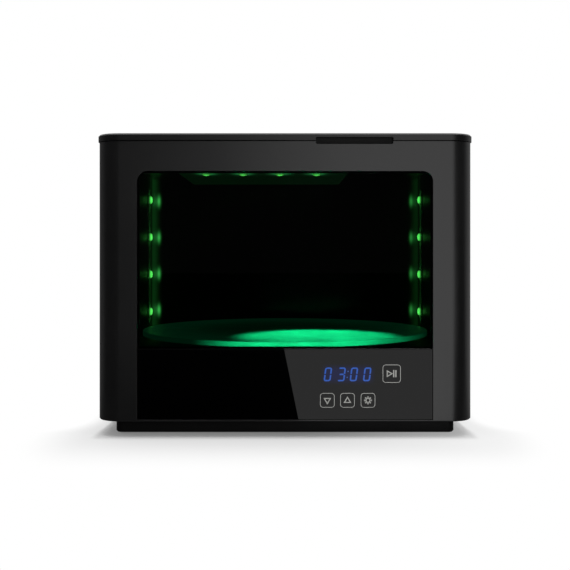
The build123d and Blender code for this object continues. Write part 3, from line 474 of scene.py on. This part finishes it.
footRubber = moulded("footRubber", (0.012, 0.012, 0.012), 0.8, 900, 0.03 * mm)
sealRubber = moulded("sealRubber", (0.01, 0.01, 0.01), 0.75, 900, 0.03 * mm)
boardGreen = moulded("boardGreen", (0.01, 0.08, 0.03), 0.35)
boardDark = moulded("boardDark", (0.08, 0.1, 0.085), 0.4)
nylonPost = moulded("nylonPost", (0.7, 0.72, 0.7), 0.35)
steelSheet = metal("steelSheet", (0.5, 0.5, 0.52), 0.35)
zincScrew = metal("zincScrew", (0.62, 0.62, 0.64), 0.3, (1, 1, 1))
blackScrew = metal("blackScrew", (0.05, 0.05, 0.052), 0.35, (1, 1, 1))
brassPost = metal("brassPost", (0.75, 0.55, 0.25), 0.3, (1, 1, 1))
copperCoil = metal("copperCoil", (0.6, 0.28, 0.12), 0.35, (1, 1, 30))


pane = {
    "smudge": (9, 4),
    "dark": (0.44, 0.47, 0.45),
    "light": (0.48, 0.50, 0.485),
}


def tintedPane():
    # smoked acrylic: smooth, clear and dark, with faint smudges
    material, tree, shader = blank("tintedPane", IOR=1.3, Roughness=0.0)
    shader.inputs["Transmission Weight"].default_value = 1.0
    smudge = noiseNode(tree, *pane["smudge"]).outputs["Fac"]
    tree.links.new(ramp(tree, smudge, pane["dark"], pane["light"]), shader.inputs["Base Color"])
    return material


paneTint = tintedPane()
lampGreen = (0.10, 0.90, 0.14)
columnGlow = lensGlow("columnGlow", (0.12, 1.0, 0.14), (0.05, 0.14, 0.06), lenses["columnGlow"],
                      "column_lamps_left", 2, 0, *lenses["columnNear"])
ceilingGlow = lensGlow("ceilingGlow", (0.12, 0.80, 0.12), (0.05, 0.14, 0.06), lenses["ceilingGlow"],
                       "ceiling_lamps", 0, 2, *lenses["ceilingNear"])
timerBlue = glowing("timerBlue", (0.0, 0.072, 0.42), 1.0)
colonBlue = glowing("colonBlue", (0.018, 0.07, 0.26), 1.0)
keyPrint = moulded("keyPrint", (0.58, 0.58, 0.555), 0.6, 2000, 0.002 * mm)
iconPrint = moulded("iconPrint", (0.5, 0.5, 0.475), 0.6, 2000, 0.002 * mm)

# turntable finish; glowColor and the sheens are its painted glow
disc = {
    "glowColor": (0.012, 1.0, 0.40),
    "rimWidth": 0.7 * mm,
    "rimSheen": 0.015,
    "topSheen": 0.007,
    "outerSheen": 0.010,
    "outerStarts": (50 * mm, 130 * mm),
    "frost": (40, 5),
    "rough": (0.33, 0.42),
}


def discAcrylicAndPaintedGlow():
    # smoked acrylic with a painted green glow on its edge and its outer part, standing in for lamplight it
    # carries
    material, tree, shader = blank("discAcrylicAndPaintedGlow", IOR=1.49)
    x, y, _ = placeOf(tree)
    radius = lengthOf(tree, x, mathNode(tree, "SUBTRACT", y, discY))
    top = total(tree, product(tree, smoothly(tree, radius, *disc["outerStarts"]), disc["outerSheen"]),
                disc["topSheen"])
    rim = mathNode(tree, "GREATER_THAN", radius, discRadius - disc["rimWidth"])
    shader.inputs["Emission Color"].default_value = (*disc["glowColor"], 1)
    tree.links.new(lerp(tree, rim, top, disc["rimSheen"]), shader.inputs["Emission Strength"])
    frost = noiseNode(tree, *disc["frost"]).outputs["Fac"]
    tree.links.new(ramp(tree, frost, (0.006, 0.012, 0.009), (0.01, 0.018, 0.014)),
                   shader.inputs["Base Color"])
    tree.links.new(ramp(tree, frost, *disc["rough"]), shader.inputs["Roughness"])
    return material


acrylic = discAcrylicAndPaintedGlow()
print("materials ready")


# pieces whose frame mesh is merged and given broken edges: node, material, body, slot, edge in mm
refined = {
    "housingShell": ("housing_wrap", housingPaint, "housing", "housing_paint", 0.3),
    "lidShell": ("lid_shell", lidPaint, "lid", "lid_paint", 0.25),
    "hingeRail": ("hinge_rail", lidPaint, "housing", "rail_paint", 0.2),
    "plinthPan": ("base_pan", panPaint, "housing", "pan_paint", 0.25),
    "rearCover": ("rear_cover", housingPaint, "housing", "cover_paint", 0.15),
    "controlFascia": ("control_fascia", fasciaGloss, "housing", "fascia_gloss", 0.2),
    "frameStiles": ("frame_stiles", framePlastic, "housing", "frame_plastic", 0.2),
    "frameRails": ("frame_rails", framePlastic, "housing", "frame_plastic", 0.2),
    "fingerCup": ("finger_cup", cupPlastic, "lid", "cup_plastic", 0.15),
    "lidLining": ("lid_lining", liningGloss, "lid", "lining_gloss", 0.2),
    "lampTray": ("lamp_tray", trayPaintAndPaintedLight, "lid", "tray_paint", 0.2),
    "topRim": ("top_rim", rimPaint, "housing", "rim_paint", 0.2),
    "turntableDisc": ("turntable_disc", acrylic, "turntable", "disc_acrylic", 0),
    "turntableHub": ("turntable_hub", blackPlastic, "turntable", "hub_plastic", 0.2),
}
for name, (node, material, body, slot, edge) in refined.items():
    refine(node, name, material, body, edge * mm)
print("frame meshes refined")


def bandFaces(rows, count, rowsMeet=False, pathMeets=True):
    # four-sided faces between each row of points and the next; the rows or the path may close on themselves
    k = np.arange(count if pathMeets else count - 1)
    after = (k + 1) % count
    start = np.arange(rows if rowsMeet else rows - 1)[:, None] * count
    following = (start + count) % (rows * count)
    return np.stack((start + k, start + after, following + after, following + k), -1).reshape(-1, 4).tolist()


def arcPoints(centre, radius, start, end, steps):
    # the centre plus the radius times the cosine and sine of an angle that runs from start to end
    t = np.linspace(start, end, steps)
    return np.column_stack((centre[0] + radius * np.cos(t), centre[1] + radius * np.sin(t)))


def roundedLoop(width, height, radius, steps=6):
    # closed outline of a rounded rectangle: a quarter arc round each corner's centre in turn
    corners = []
    for turn, (sx, sy) in enumerate(((1, 1), (-1, 1), (-1, -1), (1, -1))):
        middle = (sx * (width / 2 - radius), sy * (height / 2 - radius))
        corners.append(arcPoints(middle, radius, turn * math.pi / 2, (turn + 1) * math.pi / 2, steps))
    return np.concatenate(corners)


def softPath(points, radii, steps=7):
    # each inner corner becomes a curve weighted between three points: one a radius before the corner, the
    # corner itself and one a radius after it, by the squares of what is left and done and twice their product
    points = np.asarray(points, float)
    t = np.linspace(0, 1, steps)[:, None]
    path = [points[:1]]
    for before, here, after, radius in zip(points, points[1:], points[2:], radii):
        a = here + (before - here) / np.linalg.norm(before - here) * radius
        b = here + (after - here) / np.linalg.norm(after - here) * radius
        path.append((1 - t) ** 2 * a + 2 * t * (1 - t) * here + t ** 2 * b)
    path.append(points[-1:])
    return np.concatenate(path)


def strokeSides(path, width):
    # the path moved half a width to each side, along the normals of its tangents
    tangent = np.gradient(path, axis=0)
    tangent /= np.linalg.norm(tangent, axis=1)[:, None]
    side = np.column_stack((-tangent[:, 1], tangent[:, 0])) * width / 2
    return path - side, path + side


def strokeLoop(path, width):
    # closed outline of a stroke
    right, left = strokeSides(path, width)
    return np.concatenate((right, left[::-1]))


liner = {
    "sheet": 1.0 * mm,
    "return": 24.0 * mm,
    "frontBend": 12.0 * mm,
    "backBend": 6.0 * mm,
    "bendSteps": 13,
}


def bentSheet():
    # the liner as one folded sheet: its plan path moved half a sheet each way, carried from deck to rim
    low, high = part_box("chamber_liner")
    half = liner["sheet"] / 2
    left, right, front, back = low[0] + half, high[0] - half, low[1] + half, high[1] - half
    inset = liner["return"] - half
    path = softPath(((left + inset, front), (left, front), (left, back), (right, back), (right, front),
                     (right - inset, front)),
                    (liner["frontBend"], liner["backBend"], liner["backBend"], liner["frontBend"]),
                    liner["bendSteps"])
    inner, outer = strokeSides(path, liner["sheet"])
    count = len(path)
    rows = [np.column_stack((side, np.full(count, z))) for side, z in
            ((inner, low[2]), (inner, high[2]), (outer, high[2]), (outer, low[2]))]
    faces = bandFaces(4, count, rowsMeet=True, pathMeets=False)
    faces += [[row * count for row in range(4)], [row * count + count - 1 for row in (3, 2, 1, 0)]]
    return np.concatenate(rows), faces


def faceOutwards(piece):
    work = bmesh.new()
    work.from_mesh(piece.data)
    bmesh.ops.recalc_face_normals(work, faces=work.faces)
    work.to_mesh(piece.data)
    work.free()


chamberLiner = meshObject("chamberLiner", *bentSheet(), linerGloss, "housing", "liner_gloss")
faceOutwards(chamberLiner)
evenNormals(chamberLiner)
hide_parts("chamber_liner")

# the bar behind the seam of pane and fascia ends just over the seam
barCover = 1.5 * mm
barHeight = 8 * mm
rails = bpy.data.objects["frameRails"].data
heights = np.empty(len(rails.vertices) * 3)
rails.vertices.foreach_get("co", heights)
heights = heights.reshape(-1, 3)
barTop = corner("window_pane", 0, "z") + barCover
onBar = (heights[:, 2] > barTop) & (heights[:, 2] < barTop + barHeight)
heights[onBar, 2] = barTop
rails.vertices.foreach_set("co", heights.ravel())

dressed = {
    paneTint: ("window_pane",),
    footRubber: ("rubber_feet",),
    sealRubber: ("lid_seal",),
    deckPaint: ("deck",),
    boardGreen: ("control_board", "driver_board", "ceiling_board"),
    boardDark: ("column_board_left", "column_board_right"),
    nylonPost: ("board_posts",),
    brassPost: ("driver_posts",),
    copperCoil: ("driver_coil",),
    steelSheet: ("gearbox", "drive_motor", "heat_sink", "rear_frame"),
    blackScrew: ("cover_screws", "fan_screws"),
    zincScrew: ("pan_screws", "hub_screws", "motor_screws", "touch_springs", "drive_shaft", "power_inlet",
                "hinge_pins", "lid_magnet"),
    blackPlastic: ("display_module", "capacitors", "fan_frame", "fan_rotor", "switch_body", "power_rocker",
                   "lid_sensor"),
}
for material, names in dressed.items():
    for node in names:
        dress(node, material)
print("frame pieces dressed")


# depth of the printed and lit marks on the fascia
markDepth = 0.04 * mm


def onPanel(loop, x, z, depth):
    # a flat outline carried to the fascia's front face
    return np.column_stack((loop[:, 0] + x, np.full(len(loop), panelFront - depth), loop[:, 1] + z))


def plateMesh(loop, x, z):
    # thin plate: the outline at two depths, closed by one face each side and a band between
    count = len(loop)
    points = np.concatenate((onPanel(loop, x, z, 0), onPanel(loop, x, z, markDepth)))
    k = np.arange(count)
    return points, [list(k[::-1])] + [list(k + count)] + bandFaces(2, count)


def ringMesh(outer, inner, x, z):
    # thin ring: outer and inner outline at two depths, joined round in four bands
    rows = [onPanel(outer, x, z, 0), onPanel(outer, x, z, markDepth), onPanel(inner, x, z, markDepth),
            onPanel(inner, x, z, 0)]
    return np.concatenate(rows), bandFaces(4, len(outer), rowsMeet=True)


def joinMarks(name, marks, material, slot):
    # several thin marks as one piece
    points, faces, start = [], [], 0
    for part, partFaces in marks:
        points.append(part)
        faces += [[index + start for index in face] for face in partFaces]
        start += len(part)
    piece = meshObject(name, np.concatenate(points), faces, material, "housing", slot)
    faceOutwards(piece)
    return piece


timer = {
    "height": 10.7 * mm,
    "width": 4.9 * mm,
    "stroke": 1.3 * mm,
    "corner": 1.5 * mm,
    "gap": 0.45 * mm,
    "slant": 0.13,
    "middleZ": 54.4 * mm,
    "digitX": (37.1 * mm, 49.0 * mm, 59.6 * mm, 71.1 * mm),
    "colonX": 54.2 * mm,
    "colonRise": 2.6 * mm,
    "colonSize": 1.2 * mm,
    "text": "0300",
    # halo: painted glow of the digits on the cover, its left, right, low and high edge and its fade
    "halo": (34.0 * mm, 75.0 * mm, 48.5 * mm, 60.5 * mm, 4.0 * mm),
    "haloGlow": 0.036,
    "haloColor": (0.0, 0.06, 1.0),
    "haloDepth": (0.4 * mm, 0.2 * mm),
    "dotCorner": 0.4,
    "middleBar": 0.7,
}


def paintedTimerHalo():
    # painted light of the digits scattered in the cover: a weak blue patch that fades out over its rim
    tree = fasciaGloss.node_tree
    shader = tree.nodes["Principled BSDF"]
    place = placeOf(tree)
    left, right, low, high, fade = timer["halo"]
    window = product(tree, smoothly(tree, place[0], left - fade, left + fade),
                     smoothly(tree, place[0], right + fade, right - fade),
                     smoothly(tree, place[2], low - fade, low + fade),
                     smoothly(tree, place[2], high + fade, high - fade),
                     smoothly(tree, place[1], *(panelFront + depth for depth in timer["haloDepth"])))
    shader.inputs["Emission Color"].default_value = (*timer["haloColor"], 1)
    tree.links.new(product(tree, window, timer["haloGlow"]), shader.inputs["Emission Strength"])


paintedTimerHalo()


def digitMarks(digit, x):
    # centre lines of a seven-bar digit with joined corners, open only beside its middle bar
    w, h, gap = timer["width"] / 2, timer["height"] / 2, timer["gap"]
    bar = w * timer["middleBar"]
    paths = {
        "0": (((-w, gap), (-w, h), (w, h), (w, gap)), ((-w, -gap), (-w, -h), (w, -h), (w, -gap))),
        "3": (((-w, h), (w, h), (w, gap)), ((-w, -h), (w, -h), (w, -gap)), ((-bar, 0), (bar, 0))),
    }[digit]
    found = []
    for path in paths:
        loop = strokeLoop(softPath(path, [timer["corner"]] * 2), timer["stroke"])
        loop[:, 0] += loop[:, 1] * timer["slant"]
        found.append(plateMesh(loop, x, timer["middleZ"]))
    return found


timerMarks = []
for digit, x in zip(timer["text"], timer["digitX"]):
    timerMarks += digitMarks(digit, x)
joinMarks("timerDigits", timerMarks, timerBlue, "timer_display")
dot = roundedLoop(timer["colonSize"], timer["colonSize"], timer["colonSize"] * timer["dotCorner"])
joinMarks("timerColon", [plateMesh(dot, timer["colonX"] + z * timer["slant"], timer["middleZ"] + z)
                         for z in (-timer["colonRise"], timer["colonRise"])], colonBlue, "timer_display")

keys = {
    "small": 12.5 * mm,
    "large": 15.6 * mm,
    "corner": 2.6 * mm,
    "line": 0.42 * mm,
    "rowZ": 31.95 * mm,
    "rowX": (36.6 * mm, 54.05 * mm, 71.8 * mm),
    "playX": 92.3 * mm,
    "playZ": 55.0 * mm,
    "arrow": 3.85 * mm,
    "arrowLine": 0.85 * mm,
    "petals": 8,
    "petalCorners": 12,
    "lampCorners": 20,
    "petalReach": 2.75 * mm,
    "petalSize": 0.76 * mm,
    "lampHole": 1.35 * mm,
    "petalLine": 0.62,
    "downRise": 0.1 * mm,
    "upDrop": 0.3 * mm,
    "playShare": 0.93,
    "playShift": 2.5 * mm,
    "pauseBar": (1.05 * mm, 6.2 * mm, 0.2 * mm),
    "pauseX": (1.75 * mm, 3.6 * mm),
}


def polygonRing(corners, radius, line, x, z, turn=0.0):
    # a regular polygon, its corners at the radius times the cosine and sine of even turns, and the same
    # polygon moved inwards by the line
    angles = turn + np.arange(corners) * 2 * math.pi / corners
    unit = np.column_stack((np.cos(angles), np.sin(angles)))
    inset = line / math.cos(math.pi / corners)
    return ringMesh(unit * radius, unit * (radius - inset), x, z)


frames = []
for x, z, size in [(x, keys["rowZ"], keys["small"]) for x in keys["rowX"]] + [
        (keys["playX"], keys["playZ"], keys["large"])]:
    line = keys["line"]
    frames.append(ringMesh(roundedLoop(size, size, keys["corner"]),
                           roundedLoop(size - 2 * line, size - 2 * line, keys["corner"] - line), x, z))
joinMarks("keyFrames", frames, keyPrint, "fascia_gloss")

downX, upX, lampX = keys["rowX"]
arrow, arrowLine, row = keys["arrow"], keys["arrowLine"], keys["rowZ"]
petal, petalReach = keys["petalSize"], keys["petalReach"]
lampCore = petalReach - petal
icons = [
    polygonRing(3, arrow, arrowLine, downX, row + keys["downRise"], -math.pi / 2),
    polygonRing(3, arrow, arrowLine, upX, row - keys["upDrop"], math.pi / 2),
    polygonRing(3, arrow * keys["playShare"], arrowLine, keys["playX"] - keys["playShift"], keys["playZ"]),
    polygonRing(keys["lampCorners"], lampCore, lampCore - keys["lampHole"], lampX, row),
]
for bar in keys["pauseX"]:
    icons.append(plateMesh(roundedLoop(*keys["pauseBar"]), keys["playX"] + bar, keys["playZ"]))
for turn in range(keys["petals"]):
    angle = turn * 2 * math.pi / keys["petals"]
    icons.append(polygonRing(keys["petalCorners"], petal, petal * keys["petalLine"],
                             lampX + petalReach * math.cos(angle), row + petalReach * math.sin(angle)))
joinMarks("keyIcons", icons, iconPrint, "fascia_gloss")
print("fascia marks made")


def domePoints(size, rise, fullness, rings=9, around=28):
    # a lens over the uv plane: its radius is the size times a power of the cosine of an angle that goes from
    # zero at the foot to a right angle at the crown, and its height is the rise times the sine of that angle
    a = np.linspace(0, math.pi / 2, rings)[:, None]
    b = np.arange(around)[None, :] * 2 * math.pi / around
    radius = size * np.clip(np.cos(a), lenses["crownFlat"], 1) ** fullness
    u, v = radius * np.cos(b), radius * np.sin(b)
    w = lenses["baseHeight"] + rise * np.sin(a) + 0 * b
    points = np.stack((u, v, w), -1).reshape(-1, 3)
    crown, foot = list(range((rings - 1) * around, rings * around)), list(range(around))[::-1]
    return points, bandFaces(rings, around) + [crown, foot]


def basePoints():
    # the square foot under a lens, with broken corners
    loop = roundedLoop(lenses["base"], lenses["base"], lenses["baseCorner"], lenses["baseSteps"])
    count, k = len(loop), np.arange(len(loop))
    low = np.column_stack((loop, np.zeros(count)))
    high = low + (0, 0, lenses["baseHeight"])
    return np.concatenate((low, high)), bandFaces(2, count) + [list(k[::-1])] + [list(k + count)]


def lampPiece(name, node, body, material, facing, dome, power):
    # lenses in a row along the node's box, their axis along facing, each with its light ahead of it
    low, high = (np.array(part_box(node)[side]) for side in (0, 1))
    facing = np.array(facing, float)
    axis = int(np.argmax(np.abs(facing)))
    along = 2 if axis == 0 else 0
    across = 3 - axis - along
    start = np.where(facing > 0, low, high)
    half = (high - low)[across] / 2
    points, faces, made = [], [], 0
    for place in np.linspace(low[along] + half, high[along] - half, lenses["count"]):
        foot = (low + high) / 2
        foot[axis], foot[along] = start[axis], place
        for local, localFaces in (domePoints(*dome), basePoints()):
            world = np.zeros((len(local), 3))
            world[:, along], world[:, across] = local[:, 0], local[:, 1]
            world[:, axis] = local[:, 2] * facing[axis]
            points.append(world + foot)
            faces += [[index + made for index in face] for face in localFaces]
            made += len(local)
        lampLight(f"{name}Light{round(place * 1000)}", foot + facing * lenses["lightAhead"], power, body)
    piece = meshObject(name, np.concatenate(points), faces, material, body, "lamp_lens", lenses["smooth"])
    faceOutwards(piece)
    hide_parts(node)


def lampLight(name, place, power, body):
    # one diode's light, not seen itself
    data = bpy.data.lights.new(name, "POINT")
    data.energy = power
    data.shadow_soft_size = lenses["lightRadius"]
    data.color = lampGreen
    light = bpy.data.objects.new(name, data)
    light.location = place
    light.visible_camera = light.visible_glossy = light.visible_transmission = False
    bpy.context.scene.collection.objects.link(light)
    light.parent = frame["bodies"][body]


for name, node, side in (("leftLenses", "column_lamps_left", 1), ("rightLenses", "column_lamps_right", -1)):
    lampPiece(name, node, "housing", columnGlow, (side, 0, 0), lenses["columnDome"], lenses["columnPower"])
lampPiece("ceilingLenses", "ceiling_lamps", "lid", ceilingGlow, (0, 0, -1), lenses["ceilingDome"],
          lenses["ceilingPower"])
print("lamps made")

view = {
    "distance": 0.805,
    "eyeHeight": 0.1615,
    "horizonPixel": 250.55,
    "focalPixels": 931.0,
    "imageSize": 570.0,
    "sensor": 36.0,
}
frontPlane = corner("housing_wrap", 0, "y")
cameraData = bpy.data.cameras.new("camera")
cameraData.sensor_width = view["sensor"]
cameraData.lens = view["sensor"] * view["focalPixels"] / view["imageSize"]
cameraData.shift_y = (view["horizonPixel"] - view["imageSize"] / 2) / view["imageSize"]
camera = bpy.data.objects.new("camera", cameraData)
camera.location = (0, frontPlane - view["distance"], view["eyeHeight"])
camera.rotation_euler = (math.pi / 2, 0, 0)
bpy.context.scene.collection.objects.link(camera)
bpy.context.scene.camera = camera

# floor, world and lamps, in metres; a pair of starts is where a smooth step begins and ends
studio = {
    "floorHalf": 6.0,
    "floorColor": (0.8, 0.8, 0.8),
    "floorSpecular": 0.3,
    # footGlow to sideStretch: the painted shadow round the plinth, as shares of white and reaches
    "footGlow": 0.17,
    "nearGlow": 0.55,
    "footReach": 0.014,
    "nearReach": 0.0,
    "farReach": 0.125,
    "rightGlow": 0.16,
    "rightStarts": (0.0, 0.15),
    "rightReach": (0.08, 0.01),
    "sideStarts": (-0.15, -0.08),
    "sideStretch": (2.0, 5.0),
    "worldFill": 0.5,
    "frontDark": 0.02,
    "aboveGlow": 0.9,
    "lowLeft": 0.12,
    "lowRight": 0.36,
    "lowTurn": (-0.3, 0.3),
    "dimStarts": (-0.25, 0.0),
    "wallStarts": (-0.3, 0.4),
    "aboveStarts": (-0.1, 0.7),
    "ceilingStarts": (0.15, 0.5),
    # patchLeft to patchBack: the painted strip that gloss sees on the floor
    "patchLeft": 0.0185,
    "patchTilt": 0.0226,
    "patchRight": 0.06,
    "patchSpread": -0.48,
    "patchFront": -0.9,
    "patchBack": -0.20,
    "cardY": -2.2,
    "cardWider": 0.045,
    "cardHeight": 1.0,
    "cardLift": 0.002,
    "cardGlow": 1.42,
    "overheadPlace": (0, 0.1, 2.2),
    "overheadSize": 2.4,
    "overheadGlow": 1.9,
}


def awayFrom(tree, x, y):
    # distance outside the plinth's plan, which shapes the painted shadow; sideways it counts more, and most
    # of all beside the unit
    low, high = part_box("base_pan")
    outside = []
    for axis, value in enumerate((x, y)):
        half, middle = (high[axis] - low[axis]) / 2, (high[axis] + low[axis]) / 2
        offset = mathNode(tree, "ABSOLUTE", mathNode(tree, "SUBTRACT", value, middle))
        outside.append(mathNode(tree, "MAXIMUM", mathNode(tree, "SUBTRACT", offset, half), 0.0))
    stretch = lerp(tree, smoothly(tree, y, *studio["sideStarts"]), *studio["sideStretch"])
    return lengthOf(tree, product(tree, outside[0], stretch), outside[1])


def floorWhiteAndPaintedShadow(tree, x, y):
    # share of plain white that the camera sees, a painted shadow: least at the plinth, more on the right, all
    # of it further off
    away = awayFrom(tree, x, y)
    foot = lerp(tree, smoothly(tree, away, 0.0, studio["footReach"]), studio["footGlow"], studio["nearGlow"])
    foot = total(tree, foot, product(tree, smoothly(tree, x, *studio["rightStarts"]),
                                     smoothly(tree, away, *studio["rightReach"]), studio["rightGlow"]))
    return lerp(tree, smoothly(tree, away, studio["nearReach"], studio["farReach"]), foot, 1.0)


def floorPaintedForGloss(tree, x, y):
    # painted light that gloss sees on the floor: a bright strip in front of the right half, and a dim glow
    # beside and behind
    left = total(tree, product(tree, y, studio["patchTilt"]), studio["patchLeft"])
    right = total(tree, product(tree, y, studio["patchSpread"]), studio["patchRight"])
    patch = product(tree, mathNode(tree, "GREATER_THAN", x, left), mathNode(tree, "LESS_THAN", x, right),
                    mathNode(tree, "GREATER_THAN", y, studio["patchFront"]),
                    mathNode(tree, "LESS_THAN", y, studio["patchBack"]), studio["cardGlow"])
    dim = product(tree, smoothly(tree, y, *studio["dimStarts"]),
                  lerp(tree, smoothly(tree, x, *studio["lowTurn"]), studio["lowLeft"], studio["lowRight"]))
    return total(tree, patch, dim)


def mixShaders(tree, share, first, second):
    mixed = tree.nodes.new("ShaderNodeMixShader")
    for source, socket in zip((share, first, second), mixed.inputs):
        tree.links.new(source, socket)
    return mixed.outputs[0]


def floorMaterial():
    # white sweep: diffuse under the lamps, lifted to white for the camera, with painted light of its own for
    # gloss
    material, tree, shader = blank("floorWhite", Roughness=0.5)
    shader.inputs["Base Color"].default_value = (*studio["floorColor"], 1)
    shader.inputs["Specular IOR Level"].default_value = studio["floorSpecular"]
    paths = tree.nodes.new("ShaderNodeLightPath")
    x, y, _ = placeOf(tree)
    lift = tree.nodes.new("ShaderNodeEmission")
    # less white by the plinth leaves a painted shadow there
    seen = mixShaders(tree, product(tree, paths.outputs["Is Camera Ray"], floorWhiteAndPaintedShadow(tree, x, y)),
                      shader.outputs["BSDF"], lift.outputs["Emission"])
    mirrored = tree.nodes.new("ShaderNodeEmission")
    tree.links.new(floorPaintedForGloss(tree, x, y), mirrored.inputs["Strength"])
    mixed = mixShaders(tree, paths.outputs["Is Glossy Ray"], seen, mirrored.outputs["Emission"])
    tree.links.new(mixed, tree.nodes["Material Output"].inputs["Surface"])
    return material


floorMesh = bpy.data.meshes.new("floor")
reach = studio["floorHalf"]
floorMesh.from_pydata([(-reach, -reach, 0), (reach, -reach, 0), (reach, reach, 0), (-reach, reach, 0)], [],
                      [(0, 1, 2, 3)])
floorMesh.materials.append(floorMaterial())
floor = bpy.data.objects.new("floor", floorMesh)
bpy.context.scene.collection.objects.link(floor)


def studioWorld():
    # white for the camera; gloss sees a dark room in front, dim walls low behind and a bright ceiling behind
    world = bpy.data.worlds.new("studio")
    world.use_nodes = True
    tree = world.node_tree
    backdrop = tree.nodes["Background"]
    coords = tree.nodes.new("ShaderNodeTexCoord")
    split = tree.nodes.new("ShaderNodeSeparateXYZ")
    tree.links.new(coords.outputs["Generated"], split.inputs["Vector"])
    x, y, z = (split.outputs[axis] for axis in "XYZ")
    walls = lerp(tree, smoothly(tree, x, *studio["lowTurn"]), studio["lowLeft"], studio["lowRight"])
    behind = lerp(tree, smoothly(tree, y, *studio["wallStarts"]), studio["frontDark"], walls)
    above = lerp(tree, smoothly(tree, y, *studio["aboveStarts"]), studio["frontDark"], studio["aboveGlow"])
    gloss = lerp(tree, smoothly(tree, z, *studio["ceilingStarts"]), behind, above)
    paths = tree.nodes.new("ShaderNodeLightPath")
    fill = studio["worldFill"]
    glossy = product(tree, paths.outputs["Is Glossy Ray"], mathNode(tree, "SUBTRACT", gloss, fill))
    seen = product(tree, paths.outputs["Is Camera Ray"], 1.0 - fill)
    tree.links.new(total(tree, glossy, seen, fill), backdrop.inputs["Strength"])
    backdrop.inputs["Color"].default_value = (1, 1, 1, 1)
    bpy.context.scene.world = world


studioWorld()


def softbox(name, place, target, width, height, glow):
    # soft area lamp; its power follows from its size and the brightness of its face
    data = bpy.data.lights.new(name, "AREA")
    data.shape = "RECTANGLE"
    data.size = width
    data.size_y = height
    data.energy = glow * width * height * math.pi
    lamp = bpy.data.objects.new(name, data)
    lamp.location = place
    lamp.rotation_euler = (Vector(target) - Vector(place)).to_track_quat("-Z", "Y").to_euler()
    lamp.visible_camera = False
    bpy.context.scene.collection.objects.link(lamp)
    return lamp


softbox("overhead", studio["overheadPlace"], (0, 0, 0), studio["overheadSize"], studio["overheadSize"],
        studio["overheadGlow"])
# two white cards in front, for the outside of the case only: one upright, one flat on the floor before it
cardY, cardGlow, cardHeight = studio["cardY"], studio["cardGlow"], studio["cardHeight"]
cardLeft = studio["patchLeft"] + studio["patchTilt"] * cardY - studio["cardWider"]
cardRight = studio["patchRight"] + studio["patchSpread"] * cardY
cardX, cardWidth = (cardLeft + cardRight) / 2, cardRight - cardLeft
cardDepth, cardMiddle = studio["patchFront"] - cardY, (studio["patchFront"] + cardY) / 2
cards = [
    softbox("uprightCard", (cardX, cardY, cardHeight / 2), (cardX, 0, cardHeight / 2), cardWidth, cardHeight,
            cardGlow),
    softbox("floorCard", (cardX, cardMiddle, studio["cardLift"]), (cardX, cardMiddle, 1), cardWidth,
            cardDepth, cardGlow),
]
caseParts = bpy.data.collections.new("caseParts")
for name in ("housingShell", "lidShell", "hingeRail", "plinthPan", "rearCover", "controlFascia",
             "frameStiles", "frameRails", "fingerCup", "keyFrames", "keyIcons"):
    caseParts.objects.link(bpy.data.objects[name])
for card in cards:
    card.light_linking.receiver_collection = caseParts

# the lit patch on the turntable and the light along its front edge; angles in degrees
discLight = {
    "color": (0.012, 1.0, 0.42),
    "radius": 2 * mm,
    "poolPlace": (31 * mm, -40 * mm, 225 * mm),
    "poolAim": -81 * mm,
    "poolAngle": 59.0,
    "poolBlend": 0.6,
    "poolPower": 130.0,
    "edgePlace": (24 * mm, -600 * mm),
    "edgeAngle": 26.0,
    "edgeBlend": 0.92,
    "edgePower": 900.0,
}
discParts = bpy.data.collections.new("discParts")
discParts.objects.link(bpy.data.objects["turntableDisc"])


def discSpot(name, place, target, angle, blend, power):
    # green lamplight that reaches the turntable only, and stays where it is when the table turns
    data = bpy.data.lights.new(name, "SPOT")
    data.color = discLight["color"]
    data.energy = power
    data.spot_blend = blend
    data.spot_size = math.radians(angle)
    data.shadow_soft_size = discLight["radius"]
    spot = bpy.data.objects.new(name, data)
    spot.location = place
    spot.rotation_euler = (Vector(target) - Vector(place)).to_track_quat("-Z", "Y").to_euler()
    spot.visible_camera = spot.visible_glossy = spot.visible_transmission = False
    spot.light_linking.receiver_collection = discParts
    spot.light_linking.blocker_collection = discParts
    bpy.context.scene.collection.objects.link(spot)


poolX, poolY, poolZ = discLight["poolPlace"]
discSpot("poolSpot", (poolX, discY + poolY, poolZ), (poolX, discY + discLight["poolAim"], discTop),
         discLight["poolAngle"], discLight["poolBlend"], discLight["poolPower"])
edgeX, edgeY = discLight["edgePlace"]
edgeZ = (discTop + discBottom) / 2
discSpot("edgeSpot", (edgeX, edgeY, edgeZ), (edgeX, 0, edgeZ), discLight["edgeAngle"], discLight["edgeBlend"],
         discLight["edgePower"])

bpy.context.scene.view_settings.view_transform = "Standard"
print("studio lit")

print("scene ready")
